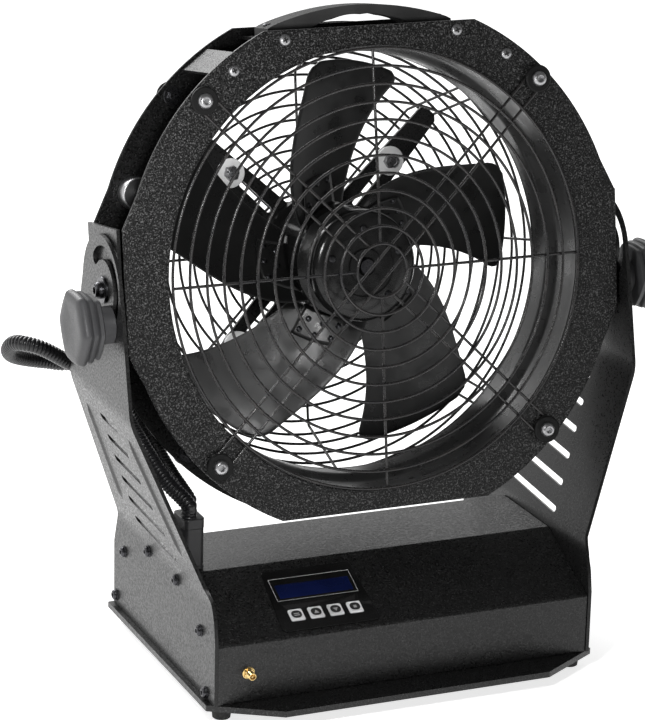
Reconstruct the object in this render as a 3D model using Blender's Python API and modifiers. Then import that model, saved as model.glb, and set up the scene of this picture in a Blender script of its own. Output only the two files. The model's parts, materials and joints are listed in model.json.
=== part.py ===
"""Stage fan on a tilting yoke, with a control base.

Metres, +Z up, -Y is the side the fan blows towards, +X is the fan's right side as
seen from the front.  The origin is the centre of the base plate's underside; the
rubber feet reach below it.
"""
import bpy
import bmesh
from math import acos, asin, atan2, cos, hypot, pi, radians, sin
from mathutils import Matrix, Vector

MM = 0.001
GAP = 0.3 * MM                     # clearance between pieces that touch
ASSEMBLY = "stage_fan"

# Base
BASE_HALF_X = 164.0 * MM
COVER_FRONT_Y = -106.0 * MM
COVER_REAR_Y = 131.5 * MM
COVER_KNEE_Z = 55.5 * MM           # top of the upright front and rear walls
COVER_TOP_Z = 90.0 * MM
COVER_TOP_FRONT_Y = -31.0 * MM
COVER_TOP_REAR_Y = 52.0 * MM
COVER_WALL = 1.5 * MM
PLATE_HALF_X = 172.0 * MM
PLATE_HALF_Y = 134.0 * MM
PLATE_THICK = 5.0 * MM
PLATE_CORNER_X = 55.0 * MM
PLATE_CORNER_Y = 33.0 * MM
FOOT_HEIGHT = 10.0 * MM
FOOT_X = 156.0 * MM
FOOT_Y = 94.0 * MM
FOOT_R = 8.5 * MM
FOOT_FLOOR_R = 7.5 * MM
FOOT_SEAT = 1.2 * MM               # depth of the round seats under the plate

# Connectors on the rear wall, each with its X
FITTING_Z = 31.0 * MM
POWER_FITTINGS = (("power_inlet", -120.0 * MM), ("power_outlet", -72.0 * MM))
POWER_WIDTH = 30.0 * MM
POWER_HEIGHT = 24.0 * MM
POWER_WELL = 16.0 * MM
DMX_FITTINGS = (("dmx_input", 40.0 * MM), ("dmx_output", 84.0 * MM))
DMX_R = 12.0 * MM
FUSE_X = -30.0 * MM
FUSE_R = 7.5 * MM

# Display panel, measured along the sloping front of the cover
PANEL_CENTRE_X = -64.4 * MM
LCD_WIDTH = 71.2 * MM
LCD_HEIGHT = 25.0 * MM
LCD_UP = 50.5 * MM                 # centre of the window, up the slope from the knee
BUTTON_UP = 21.0 * MM
BUTTON_SIZE = 12.0 * MM
BUTTON_PITCH = 17.0 * MM
BUTTON_TRAVEL = 1.2 * MM
BEZEL_THICK = 1.2 * MM

# Yoke
ARM_THICK = 3.0 * MM
ARM_TOP_X = 220.0 * MM             # inner face of the upright upper part
ARM_LOW_X = BASE_HALF_X + GAP      # inner face of the part bolted to the base
ARM_BEND_LOW_Z = 91.0 * MM
ARM_BEND_HIGH_Z = 233.0 * MM
ARM_TOP_RADIUS = 45.0 * MM
ARM_TOP_Y = 6.0 * MM               # centre of the arm's round top
ARM_TOP_DROP = 3.0 * MM            # that centre, below the pivot
ARM_FRONT_Y = -107.0 * MM
ARM_REAR_Y = 132.0 * MM
ARM_FOOT_Z = PLATE_THICK + GAP
ARM_SLOTS = 6
FLARE = hypot(ARM_TOP_X - ARM_LOW_X, ARM_BEND_HIGH_Z - ARM_BEND_LOW_Z)
PIVOT_Z = 325.0 * MM
PIVOT_BOLT_R = 5.0 * MM
SLOT_RADIUS = 29.0 * MM            # the clamp stud's arc round the pivot
SLOT_HALF = 5.6 * MM
STUD_R = 5.0 * MM
STUD_ANGLE = 236.0                 # degrees round the pivot, from the rear over the top
TILT_UP_RANGE = 190.0
TILT_DOWN_RANGE = 20.0

# Head, in its own frame: U to the right, V up, W backwards from the front plate's face
HEAD_TILT = 8.6                    # degrees, blowing upwards
HEAD_FRONT = 31.0 * MM             # pivot to the front plate's face
HEAD_DEPTH = 71.0 * MM
SHEET = 3.0 * MM
OUTLINE_R = 216.0 * MM
TOP_V = 195.8 * MM
EAR_U = 215.7 * MM
EAR_V = 49.0 * MM
EAR_ROOT_V = 75.0 * MM
OPENING_R = 179.5 * MM
THROAT_R = 173.0 * MM
GUARD_BOLT_R = 205.0 * MM
WIRE = 3.6 * MM

# Motor and impeller
BLADES = 5
TIP_R = 164.5 * MM
HUB_R = 46.0 * MM
BLADE_ROOT_R = HUB_R + 1.6 * MM
ROTOR_FRONT_W = 26.0 * MM
ROTOR_REAR_W = 122.0 * MM
BASKET_W = 162.0 * MM              # middle of the rear guard's flat back
BASKET_R = 152.0 * MM
BASKET_MOUTH_R = 195.0 * MM
BASKET_MOUTH_W = HEAD_DEPTH + GAP + WIRE / 2
BRACKET_REACH = 159.0 * MM

# Hoses and the round capacitor behind the front plate
HOSE_R = 6.5 * MM
GLAND_TOP = 134.0 * MM             # where the hoses leave the base gland
CAPACITOR_U = -182.0 * MM
CAPACITOR_V = 70.0 * MM
CAPACITOR_R = 13.6 * MM
CAPACITOR_FRONT_W = 53.0 * MM

BLACK = (0.012, 0.012, 0.013)


def reset():
    for item in list(bpy.data.objects):
        bpy.data.objects.remove(item, do_unlink=True)
    parts = bpy.data.collections.new(ASSEMBLY)
    cutters = bpy.data.collections.new("cutters")
    for group in (parts, cutters):
        bpy.context.scene.collection.children.link(group)
    return parts, cutters


PARTS, CUTTERS = reset()


def material(name, colour, roughness, metallic=0.0):
    found = bpy.data.materials.get(name)
    if found:
        return found
    made = bpy.data.materials.new(name)
    made.use_nodes = True
    shader = made.node_tree.nodes["Principled BSDF"]
    shader.inputs["Base Color"].default_value = (*colour, 1.0)
    shader.inputs["Roughness"].default_value = roughness
    shader.inputs["Metallic"].default_value = metallic
    made.diffuse_color = (*colour, 1.0)
    return made


def coat():
    return material("textured_black_coat", BLACK, 0.5)


def steel():
    return material("zinc_steel", (0.6, 0.6, 0.6), 0.3, 1.0)


def plastic():
    return material("black_plastic", (0.03, 0.03, 0.032), 0.5)


def finish(item, look, group=None):
    """Put a mesh object into its collection with its one material."""
    for owner in list(item.users_collection):
        owner.objects.unlink(item)
    (group or PARTS).objects.link(item)
    item.data.materials.clear()
    item.data.materials.append(look)
    return item


def from_bmesh(name, shape, look, group=None):
    mesh = bpy.data.meshes.new(name)
    bmesh.ops.recalc_face_normals(shape, faces=shape.faces)
    shape.to_mesh(mesh)
    shape.free()
    mesh.shade_smooth()
    mesh.set_sharp_from_angle(angle=radians(35))
    item = bpy.data.objects.new(name, mesh)
    return finish(item, look, group)


def box(name, low, high, look, group=None):
    shape = bmesh.new()
    bmesh.ops.create_cube(shape, size=1.0)
    low, high = Vector(low), Vector(high)
    size = high - low
    for vert in shape.verts:
        vert.co = Vector(v * s for v, s in zip(vert.co, size)) + (low + high) / 2
    return from_bmesh(name, shape, look, group)


def cylinder(name, radius, start, end, look, sides=24, radius_end=None, group=None):
    """A cylinder or cone from start to end."""
    start, end = Vector(start), Vector(end)
    shape = bmesh.new()
    top = radius if radius_end is None else radius_end
    bmesh.ops.create_cone(shape, cap_ends=True, segments=sides, radius1=radius,
                          radius2=top, depth=(end - start).length)
    turn = Vector((0, 0, 1)).rotation_difference(end - start).to_matrix().to_4x4()
    bmesh.ops.transform(shape, verts=shape.verts,
                        matrix=Matrix.Translation((start + end) / 2) @ turn)
    return from_bmesh(name, shape, look, group)


def runs_upwards(profile):
    """Whether a profile's outer side climbs, which would turn it inside out."""
    area = 0.0
    for (r1, z1), (r2, z2) in zip(profile, profile[1:] + profile[:1]):
        area += r1 * z2 - r2 * z1
    return area > 0


def turned(name, profile, origin, axis, look, sides=32):
    """A profile of (radius, height) points turned about an axis through the origin."""
    if runs_upwards(profile):
        profile = list(reversed(profile))
    mesh = bpy.data.meshes.new(name)
    points = [(radius, 0.0, height) for radius, height in profile]
    mesh.from_pydata(points, [(i, i + 1) for i in range(len(points) - 1)], [])
    item = bpy.data.objects.new(name, mesh)
    screw = item.modifiers.new("turn", "SCREW")
    screw.axis = "Z"
    screw.steps = sides
    screw.render_steps = sides
    screw.use_merge_vertices = True
    screw.merge_threshold = 0.00005
    screw.use_smooth_shade = True
    turn = Vector((0, 0, 1)).rotation_difference(Vector(axis)).to_matrix().to_4x4()
    item.matrix_world = Matrix.Translation(origin) @ turn
    return finish(item, look)


def flat_plate(name, outline, holes, thickness, look, group=None):
    """An outline with holes in the XY plane, filled, extruded and welded to one mesh."""
    curve = bpy.data.curves.new(name, "CURVE")
    curve.dimensions = "2D"
    curve.fill_mode = "BOTH"
    curve.extrude = thickness / 2
    curve.render_resolution_u = 0
    for loop in [outline] + holes:
        spline = curve.splines.new("POLY")
        spline.points.add(len(loop) - 1)
        for point, (x, y) in zip(spline.points, loop):
            point.co = (x, y, 0.0, 1.0)
        spline.use_cyclic_u = True
    drawn = bpy.data.objects.new(name + "_outline", curve)
    bpy.context.scene.collection.objects.link(drawn)
    graph = bpy.context.evaluated_depsgraph_get()
    mesh = bpy.data.meshes.new_from_object(drawn.evaluated_get(graph))
    bpy.data.objects.remove(drawn, do_unlink=True)
    shape = bmesh.new()
    shape.from_mesh(mesh)
    bmesh.ops.remove_doubles(shape, verts=shape.verts, dist=0.00001)
    bpy.data.meshes.remove(mesh)
    return from_bmesh(name, shape, look, group)


def cut(item, cutters):
    """Cut each cutter out of a piece with its own Boolean modifier."""
    for number, cutter in enumerate(cutters):
        cutter.hide_render = True
        cutter.display_type = "WIRE"
        tool = item.modifiers.new("cut_%d" % number, "BOOLEAN")
        tool.operation = "DIFFERENCE"
        tool.solver = "EXACT"
        tool.object = cutter


def join(item, pieces):
    """Add pieces, which overlap it, to one body."""
    for number, piece in enumerate(pieces):
        piece.hide_render = True
        piece.display_type = "WIRE"
        tool = item.modifiers.new("join_%d" % number, "BOOLEAN")
        tool.operation = "UNION"
        tool.solver = "EXACT"
        tool.object = piece


def circle(radius, x=0.0, y=0.0, sides=24, start=0.0):
    steps = [start + 2 * pi * i / sides for i in range(sides)]
    return [(x + radius * cos(a), y + radius * sin(a)) for a in steps]


def arc(radius, first, last, steps, x=0.0, y=0.0):
    """Points on an arc, angles in degrees."""
    turns = [radians(first + (last - first) * i / steps) for i in range(steps + 1)]
    return [(x + radius * cos(a), y + radius * sin(a)) for a in turns]


def place(item, matrix):
    """Move a piece's mesh into the assembly's frame, facing out if it is mirrored."""
    item.data.transform(matrix)
    if matrix.determinant() < 0:
        item.data.flip_normals()
    return item


def tube(name, points, radius, look):
    """A hose along a smooth route."""
    curve = bpy.data.curves.new(name, "CURVE")
    curve.dimensions = "3D"
    curve.bevel_depth = radius
    curve.bevel_resolution = 2
    curve.use_fill_caps = True
    curve.render_resolution_u = 0
    spline = curve.splines.new("POLY")
    spline.points.add(len(points) - 1)
    for point, place_at in zip(spline.points, points):
        point.co = (*place_at, 1.0)
    item = bpy.data.objects.new(name, curve)
    PARTS.objects.link(item)
    curve.materials.append(look)
    return item


def smooth_route(knots, count):
    """A Catmull-Rom curve through the knots, with evenly spaced points."""
    knots = [Vector(k) for k in knots]
    ends = [knots[0] * 2 - knots[1]] + knots + [knots[-1] * 2 - knots[-2]]
    dense = []
    for a, b, c, d in zip(ends, ends[1:], ends[2:], ends[3:]):
        for step in range(20):
            t = step / 20
            dense.append(0.5 * (2 * b + (c - a) * t + (2 * a - 5 * b + 4 * c - d) * t ** 2
                                + (3 * b - a - 3 * c + d) * t ** 3))
    dense.append(knots[-1])
    lengths = [0.0]
    for a, b in zip(dense, dense[1:]):
        lengths.append(lengths[-1] + (b - a).length)
    route, index = [], 0
    for step in range(count):
        target = lengths[-1] * step / (count - 1)
        while index < len(lengths) - 2 and lengths[index + 1] < target:
            index += 1
        share = (target - lengths[index]) / (lengths[index + 1] - lengths[index])
        route.append(dense[index].lerp(dense[index + 1], share))
    return route


# ---------------------------------------------------------------- frames of reference

def head_matrix():
    """U, V, W of the head to the assembly's frame."""
    axes = Matrix(((1, 0, 0, 0), (0, 0, 1, -HEAD_FRONT), (0, 1, 0, 0), (0, 0, 0, 1)))
    tilt = Matrix.Rotation(-radians(HEAD_TILT), 4, "X")
    return Matrix.Translation((0, 0, PIVOT_Z)) @ tilt @ axes


HEAD = head_matrix()
HEAD_BACK = HEAD.to_3x3() @ Vector((0, 0, 1))


def head_point(u, v, w):
    return HEAD @ Vector((u, v, w))


def slope_frame():
    """The sloping display panel: X right, Y up the slope, Z out of the face."""
    up = Vector((0, COVER_TOP_FRONT_Y - COVER_FRONT_Y, COVER_TOP_Z - COVER_KNEE_Z))
    up.normalize()
    right = Vector((1, 0, 0))
    out = right.cross(up)
    frame = Matrix((right, up, out)).transposed().to_4x4()
    return Matrix.Translation((0, COVER_FRONT_Y, COVER_KNEE_Z)) @ frame


SLOPE = slope_frame()


def slope_box(name, centre_x, centre_up, width, height, low, high, look, group=None):
    """A box on the sloping panel, from low to high above its face."""
    item = box(name, (centre_x - width / 2, centre_up - height / 2, low),
               (centre_x + width / 2, centre_up + height / 2, high), look, group)
    return place(item, SLOPE)


def button_x(number):
    return PANEL_CENTRE_X + (number - 1.5) * BUTTON_PITCH


# ---------------------------------------------------------------- base

def make_base_plate():
    x, y = PLATE_HALF_X, PLATE_HALF_Y
    outline = [(-x, y), (-x, -y + PLATE_CORNER_Y), (-x + PLATE_CORNER_X, -y),
               (x - PLATE_CORNER_X, -y), (x, -y + PLATE_CORNER_Y), (x, y)]
    item = flat_plate("base_plate", outline, [], PLATE_THICK, coat())
    place(item, Matrix.Translation((0, 0, PLATE_THICK / 2)))
    rubber = material("rubber", (0.02, 0.02, 0.02), 0.8)
    seats = []
    for foot_y in (-FOOT_Y, FOOT_Y):
        for foot_x in (-FOOT_X, FOOT_X):
            number = len(seats) + 1
            seats.append(cylinder("foot_seat_%d" % number, FOOT_R + 2 * GAP,
                                  (foot_x, foot_y, -FOOT_HEIGHT),
                                  (foot_x, foot_y, FOOT_SEAT), coat(), group=CUTTERS))
            cylinder("rubber_foot_%d" % number, FOOT_FLOOR_R, (foot_x, foot_y, -FOOT_HEIGHT),
                     (foot_x, foot_y, FOOT_SEAT - GAP), rubber, radius_end=FOOT_R)
    cut(item, seats)


def make_base_cover():
    section = [(COVER_FRONT_Y, PLATE_THICK + GAP), (COVER_FRONT_Y, COVER_KNEE_Z),
               (COVER_TOP_FRONT_Y, COVER_TOP_Z), (COVER_TOP_REAR_Y, COVER_TOP_Z),
               (COVER_REAR_Y, COVER_KNEE_Z), (COVER_REAR_Y, PLATE_THICK + GAP)]
    shape = bmesh.new()
    ends = []
    for x in (-BASE_HALF_X, BASE_HALF_X):
        ends.append([shape.verts.new((x, y, z)) for y, z in section])
    left, right = ends
    for i in range(len(section) - 1):
        shape.faces.new((left[i], right[i], right[i + 1], left[i + 1]))
    shape.faces.new(left)
    shape.faces.new(list(reversed(right)))
    item = from_bmesh("base_cover", shape, coat())
    wall = item.modifiers.new("wall", "SOLIDIFY")
    wall.thickness = COVER_WALL
    wall.offset = -1.0
    wall.use_even_offset = True
    look = coat()
    tools = [slope_box("cut_lcd", PANEL_CENTRE_X, LCD_UP, LCD_WIDTH + 1 * MM,
                       LCD_HEIGHT + 1 * MM, -4 * MM, 4 * MM, look, CUTTERS)]
    for number in range(4):
        tools.append(slope_box("cut_button_%d" % (number + 1), button_x(number), BUTTON_UP,
                               BUTTON_SIZE + 1 * MM, BUTTON_SIZE + 1 * MM,
                               -4 * MM, 4 * MM, look, CUTTERS))
    jack = antenna_place()
    tools.append(cylinder("cut_antenna", 3.6 * MM, jack + Vector((0, -5 * MM, 0)),
                          jack + Vector((0, 5 * MM, 0)), look, 12, group=CUTTERS))
    half_width, half_height = POWER_WIDTH / 2 + GAP, POWER_HEIGHT / 2 + GAP
    for name, x in POWER_FITTINGS:
        tools.append(box("cut_" + name,
                         (x - half_width, COVER_REAR_Y - 5 * MM, FITTING_Z - half_height),
                         (x + half_width, COVER_REAR_Y + 5 * MM, FITTING_Z + half_height),
                         look, CUTTERS))
    round_holes = [(name, x, DMX_R) for name, x in DMX_FITTINGS] + [("fuse_holder", FUSE_X, FUSE_R)]
    for name, x, radius in round_holes:
        tools.append(cylinder("cut_" + name, radius + GAP,
                              (x, COVER_REAR_Y - 5 * MM, FITTING_Z),
                              (x, COVER_REAR_Y + 5 * MM, FITTING_Z), look, 20, group=CUTTERS))
    cut(item, tools)


def antenna_place():
    return Vector((-138.0 * MM, COVER_FRONT_Y, 30.0 * MM))


def make_base_fittings():
    brass = material("brass", (0.8, 0.6, 0.25), 0.3, 1.0)
    jack = antenna_place()
    out = Vector((0, -1, 0))
    turned("antenna_jack", [(0, 3 * MM), (3.1 * MM, 3 * MM), (3.1 * MM, -14 * MM), (0, -14 * MM)],
           jack + out * 6 * MM, out, brass, 12)
    for name, x in POWER_FITTINGS:
        make_power_socket(name, x)
    bore = DMX_R - 3.5 * MM
    well = [(0, -14 * MM), (bore, -14 * MM), (bore, 4 * MM)]
    for name, x in DMX_FITTINGS:
        turned(name, well + flanged_body(DMX_R), (x, COVER_REAR_Y, FITTING_Z), (0, 1, 0), steel(), 20)
    turned("fuse_holder", [(0, 4 * MM)] + flanged_body(FUSE_R), (FUSE_X, COVER_REAR_Y, FITTING_Z),
           (0, 1, 0), plastic(), 20)


def flanged_body(radius):
    """Profile of a round fitting's flange, outside the wall, and its body inside."""
    flange = radius + 2.5 * MM
    return [(flange, 4 * MM), (flange, GAP), (radius, GAP), (radius, -20 * MM), (0, -20 * MM)]


def make_power_socket(name, x):
    """A flanged rectangular connector with an open well for its plug."""
    half_width, half_height = POWER_WIDTH / 2, POWER_HEIGHT / 2
    flange, wall = 3 * MM, 3.5 * MM
    face = COVER_REAR_Y + 3 * MM
    item = box(name, (x - half_width, COVER_REAR_Y - 24 * MM, FITTING_Z - half_height),
               (x + half_width, face, FITTING_Z + half_height), plastic())
    rim = box(name + "_rim",
              (x - half_width - flange, COVER_REAR_Y + GAP, FITTING_Z - half_height - flange),
              (x + half_width + flange, face - 0.5 * MM, FITTING_Z + half_height + flange),
              plastic(), CUTTERS)
    join(item, [rim])
    well = box(name + "_well",
               (x - half_width + wall, face - POWER_WELL, FITTING_Z - half_height + wall),
               (x + half_width - wall, face + 5 * MM, FITTING_Z + half_height - wall),
               plastic(), CUTTERS)
    cut(item, [well])


def make_panel():
    glossy = material("gloss_black", (0.01, 0.01, 0.012), 0.08)
    low_up, high_up = 5.0 * MM, 72.0 * MM
    half_low, half_high = 42.5 * MM, 39.5 * MM
    corner = 4.0 * MM
    x = PANEL_CENTRE_X
    outline = [(x - half_low + corner, low_up), (x + half_low - corner, low_up),
               (x + half_low, low_up + corner), (x + half_high, high_up),
               (x - half_high, high_up), (x - half_low, low_up + corner)]
    holes = [rectangle(x, LCD_UP, LCD_WIDTH + 2 * GAP, LCD_HEIGHT + 2 * GAP)]
    for number in range(4):
        holes.append(rectangle(button_x(number), BUTTON_UP,
                               BUTTON_SIZE + 2 * GAP, BUTTON_SIZE + 2 * GAP))
    bezel = flat_plate("display_bezel", outline, holes, BEZEL_THICK, glossy)
    place(bezel, SLOPE @ Matrix.Translation((0, 0, GAP + BEZEL_THICK / 2)))
    slope_box("lcd_module", x, LCD_UP, LCD_WIDTH, LCD_HEIGHT, -7 * MM, 1.1 * MM,
              material("lcd_blue", (0.01, 0.015, 0.09), 0.1))
    for number in range(4):
        name = "menu_button_%d" % (number + 1)
        item = slope_box(name, 0, 0, BUTTON_SIZE, BUTTON_SIZE, -4 * MM, 2.6 * MM, steel())
        seat = SLOPE @ Vector((button_x(number), BUTTON_UP, 0)) - SLOPE.translation
        item.location = seat
    board = material("circuit_board", (0.02, 0.12, 0.05), 0.5)
    slope_box("control_board", x, 38 * MM, 92 * MM, 66 * MM, -9.4 * MM, -7.8 * MM, board)
    drive = box("drive_board", (-90 * MM, -30 * MM, 14 * MM), (70 * MM, 70 * MM, 16 * MM), board)
    blocks = [box("drive_part_a", (-70 * MM, -10 * MM, 15 * MM), (-30 * MM, 30 * MM, 46 * MM),
                  board, CUTTERS),
              box("drive_part_b", (0, 0, 15 * MM), (50 * MM, 45 * MM, 40 * MM), board, CUTTERS)]
    for number, (px, py) in enumerate(((-84, -24), (64, -24), (-84, 64), (64, 64))):
        blocks.append(cylinder("standoff_%d" % number, 3 * MM,
                               (px * MM, py * MM, PLATE_THICK + GAP),
                               (px * MM, py * MM, 15 * MM), board, 8, group=CUTTERS))
    join(drive, blocks)


def rectangle(x, y, width, height):
    half_x, half_y = width / 2, height / 2
    return [(x - half_x, y - half_y), (x + half_x, y - half_y),
            (x + half_x, y + half_y), (x - half_x, y + half_y)]


# ---------------------------------------------------------------- yoke

def arm_map(y, run, side_offset):
    """The bent sheet: a run along the flat blank to a place on the left arm.

    side_offset is measured from the inner face, outwards.
    """
    rise = ARM_BEND_HIGH_Z - ARM_BEND_LOW_Z
    lean = atan2(ARM_TOP_X - ARM_LOW_X, rise)
    low = ARM_BEND_LOW_Z
    if run <= low:
        x, z, tilt = ARM_LOW_X, run, 0.0
    elif run <= low + FLARE:
        x = ARM_LOW_X + (run - low) * sin(lean)
        z = low + (run - low) * cos(lean)
        tilt = lean
    else:
        x, z, tilt = ARM_TOP_X, run - low - FLARE + ARM_BEND_HIGH_Z, 0.0
    if abs(run - low) < 1e-6 or abs(run - low - FLARE) < 1e-6:
        tilt = lean / 2
        side_offset /= cos(lean / 2)
    return Vector((-x - side_offset * cos(tilt), y, z - side_offset * -sin(tilt)))


def run_at(z):
    """Run along the blank for a height on the bent arm."""
    if z <= ARM_BEND_LOW_Z:
        return z
    if z <= ARM_BEND_HIGH_Z:
        share = (z - ARM_BEND_LOW_Z) / (ARM_BEND_HIGH_Z - ARM_BEND_LOW_Z)
        return ARM_BEND_LOW_Z + share * FLARE
    return z + FLARE - (ARM_BEND_HIGH_Z - ARM_BEND_LOW_Z)


def slot_outline(start, end, half, steps=4):
    """A straight slot with round ends."""
    angle = atan2(end[1] - start[1], end[0] - start[0]) * 180 / pi
    return (arc(half, angle + 90, angle + 270, steps, *start)
            + arc(half, angle - 90, angle + 90, steps, *end))


def clamp_slot():
    """The arc slot that the clamp stud runs in, round the pivot."""
    first = STUD_ANGLE - TILT_UP_RANGE
    last = STUD_ANGLE + TILT_DOWN_RANGE
    end_a = (SLOT_RADIUS * cos(radians(first)), SLOT_RADIUS * sin(radians(first)))
    end_b = (SLOT_RADIUS * cos(radians(last)), SLOT_RADIUS * sin(radians(last)))
    loop = (arc(SLOT_RADIUS + SLOT_HALF, first, last, 18)
            + arc(SLOT_HALF, last, last + 180, 6, *end_b)[1:-1]
            + arc(SLOT_RADIUS - SLOT_HALF, last, first, 18)
            + arc(SLOT_HALF, first + 180, first + 360, 6, *end_a)[1:-1])
    return [(y, run_at(PIVOT_Z) + z) for y, z in loop]


def arm_outline():
    """The blank, Y against run, from the rear foot round by the top."""
    pivot = run_at(PIVOT_Z)
    loop = [(ARM_REAR_Y, ARM_FOOT_Z), (ARM_REAR_Y, 62 * MM), (122 * MM, ARM_BEND_LOW_Z)]
    loop += [(84 * MM, run_at(ARM_BEND_HIGH_Z)), (59 * MM, pivot - 28 * MM)]
    loop += arc(ARM_TOP_RADIUS, 8, 172, 12, ARM_TOP_Y, pivot - ARM_TOP_DROP)
    loop += [(-45 * MM, pivot - 20 * MM), (-62 * MM, run_at(ARM_BEND_HIGH_Z)),
             (-89 * MM, run_at(ARM_BEND_LOW_Z + 10 * MM)), (-98 * MM, ARM_BEND_LOW_Z),
             (-104 * MM, 76 * MM), (ARM_FRONT_Y, 58 * MM), (ARM_FRONT_Y, ARM_FOOT_Z)]
    return loop


def arm_slots():
    """Six sloping slots in the flared part, longer towards the bottom."""
    slots = []
    for number in range(ARM_SLOTS):
        share = number / (ARM_SLOTS - 1)
        middle_y, middle_z = 12.9 * MM, (211 - 104 * share) * MM
        reach = (15 + 27.5 * share) * MM
        rise = reach * 0.065
        middle_run = run_at(middle_z)
        slots.append(slot_outline((middle_y + reach, middle_run + rise),
                                  (middle_y - reach, middle_run - rise), 2.9 * MM))
    return slots


def make_arms():
    holes = arm_slots() + [clamp_slot(), circle(PIVOT_BOLT_R + GAP, 0, run_at(PIVOT_Z), 16)]
    for name, mirror in (("left_arm", 1), ("right_arm", -1)):
        blank = flat_plate(name, arm_outline(), holes, ARM_THICK, coat())
        shape = bmesh.new()
        shape.from_mesh(blank.data)
        for run in (ARM_BEND_LOW_Z, ARM_BEND_LOW_Z + FLARE):
            everything = shape.verts[:] + shape.edges[:] + shape.faces[:]
            bmesh.ops.bisect_plane(shape, geom=everything, plane_co=(0, run, 0),
                                   plane_no=(0, 1, 0), dist=1e-7)
        for vert in shape.verts:
            y, run, through = vert.co
            spot = arm_map(y, run, through + ARM_THICK / 2)
            vert.co = Vector((spot.x * mirror, spot.y, spot.z))
        if mirror < 0:
            bmesh.ops.reverse_faces(shape, faces=shape.faces)
        bmesh.ops.triangulate(shape, faces=shape.faces)
        bmesh.ops.recalc_face_normals(shape, faces=shape.faces)
        shape.to_mesh(blank.data)
        shape.free()


# ---------------------------------------------------------------- head

def head_outline():
    """Flat top and bottom, round shoulders, and an ear at each side."""
    top_u = (OUTLINE_R ** 2 - TOP_V ** 2) ** 0.5
    first = atan2(EAR_ROOT_V, (OUTLINE_R ** 2 - EAR_ROOT_V ** 2) ** 0.5) * 180 / pi
    last = atan2(TOP_V, top_u) * 180 / pi
    quarter = [(EAR_U, EAR_V)] + arc(OUTLINE_R, first, last, 8)
    right_top = quarter
    left_top = [(-u, v) for u, v in reversed(quarter)]
    bottom = [(-u, -v) for u, v in right_top + left_top]
    return right_top + left_top + bottom


def head_plate(name, w_face, opening):
    plate = flat_plate(name, head_outline(), [circle(opening, sides=56)], SHEET, coat())
    holes = []
    for number, (u, v) in enumerate(guard_bolts()):
        holes.append(cylinder("%s_hole_%d" % (name, number), 4.4 * MM, (u, v, -5 * MM),
                              (u, v, 5 * MM), coat(), 12, group=CUTTERS))
    move = HEAD @ Matrix.Translation((0, 0, w_face + SHEET / 2))
    for item in [plate] + holes:
        place(item, move)
    cut(plate, holes)
    return plate


def guard_bolts():
    turns = [radians(45 + 90 * i) for i in range(4)]
    return [(GUARD_BOLT_R * cos(a), GUARD_BOLT_R * sin(a)) for a in turns]


def make_duct():
    wall = 1.5 * MM
    front, rear = SHEET + GAP, HEAD_DEPTH - SHEET - GAP
    profile = [(OPENING_R + wall, rear - 34 * MM), (OPENING_R + wall, front), (OPENING_R, front),
               (THROAT_R, rear - 20 * MM), (THROAT_R, rear), (THROAT_R + wall, rear),
               (THROAT_R + wall, rear - 18 * MM), (OPENING_R + wall, rear - 34 * MM)]
    profile = [(radius, -height) for radius, height in profile]
    turned("duct_ring", profile, head_point(0, 0, 0), -HEAD_BACK, coat(), 56)


def make_head_braces():
    front, rear = SHEET + GAP, HEAD_DEPTH - SHEET - GAP
    top = box("top_tie_plate", (-84 * MM, 186.5 * MM, front), (84 * MM, 189 * MM, rear), coat())
    place(top, HEAD)
    for name, side in (("left_tie_plate", -1), ("right_tie_plate", 1)):
        item = box(name, (-13 * MM, 211 * MM, front), (13 * MM, 213.5 * MM, rear), coat())
        place(item, HEAD @ Matrix.Rotation(-side * radians(35.9), 4, "Z"))
    for name, side in (("left_side_bracket", -1), ("right_side_bracket", 1)):
        edges = sorted((side * (EAR_U + 0.4 * MM), side * (EAR_U + 3.2 * MM)))
        item = box(name, (edges[0], -EAR_V, 6 * MM), (edges[1], EAR_V, 75 * MM), coat())
        holes = []
        for tag, (y, z), radius in (("pivot", (0, 0), PIVOT_BOLT_R), ("stud", stud_offset(), STUD_R)):
            holes.append(cylinder("cut_%s_%s" % (tag, name), radius + GAP,
                                  (side * 200 * MM, y, PIVOT_Z + z),
                                  (side * 226 * MM, y, PIVOT_Z + z), coat(), 16, group=CUTTERS))
        place(item, HEAD)
        cut(item, holes)


def stud_offset():
    angle = radians(STUD_ANGLE)
    return SLOT_RADIUS * cos(angle), SLOT_RADIUS * sin(angle)


def make_handle():
    """A strap handle on the top tie plate, arched clear of it for the fingers."""
    base, crest = 189 * MM + GAP, 211.5 * MM
    half = 80 * MM
    steps = 12
    under, over = [], []
    for i in range(steps + 1):
        share = i / steps
        bow = sin(pi * share)
        u = -half + 2 * half * share
        over.append((u, base + 7 * MM + (crest - base - 7 * MM) * bow ** 0.8))
    reach = 50 * MM
    for i in range(steps + 1):
        share = i / steps
        bow = sin(pi * share)
        under.append((reach - 2 * reach * share, base + (crest - base - 8 * MM) * bow ** 0.6))
    outline = [(-half, base)] + over + [(half, base)] + under
    item = flat_plate("carry_handle", outline, [], 28 * MM, plastic())
    place(item, HEAD @ Matrix.Translation((0, 0, HEAD_DEPTH / 2)))


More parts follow.
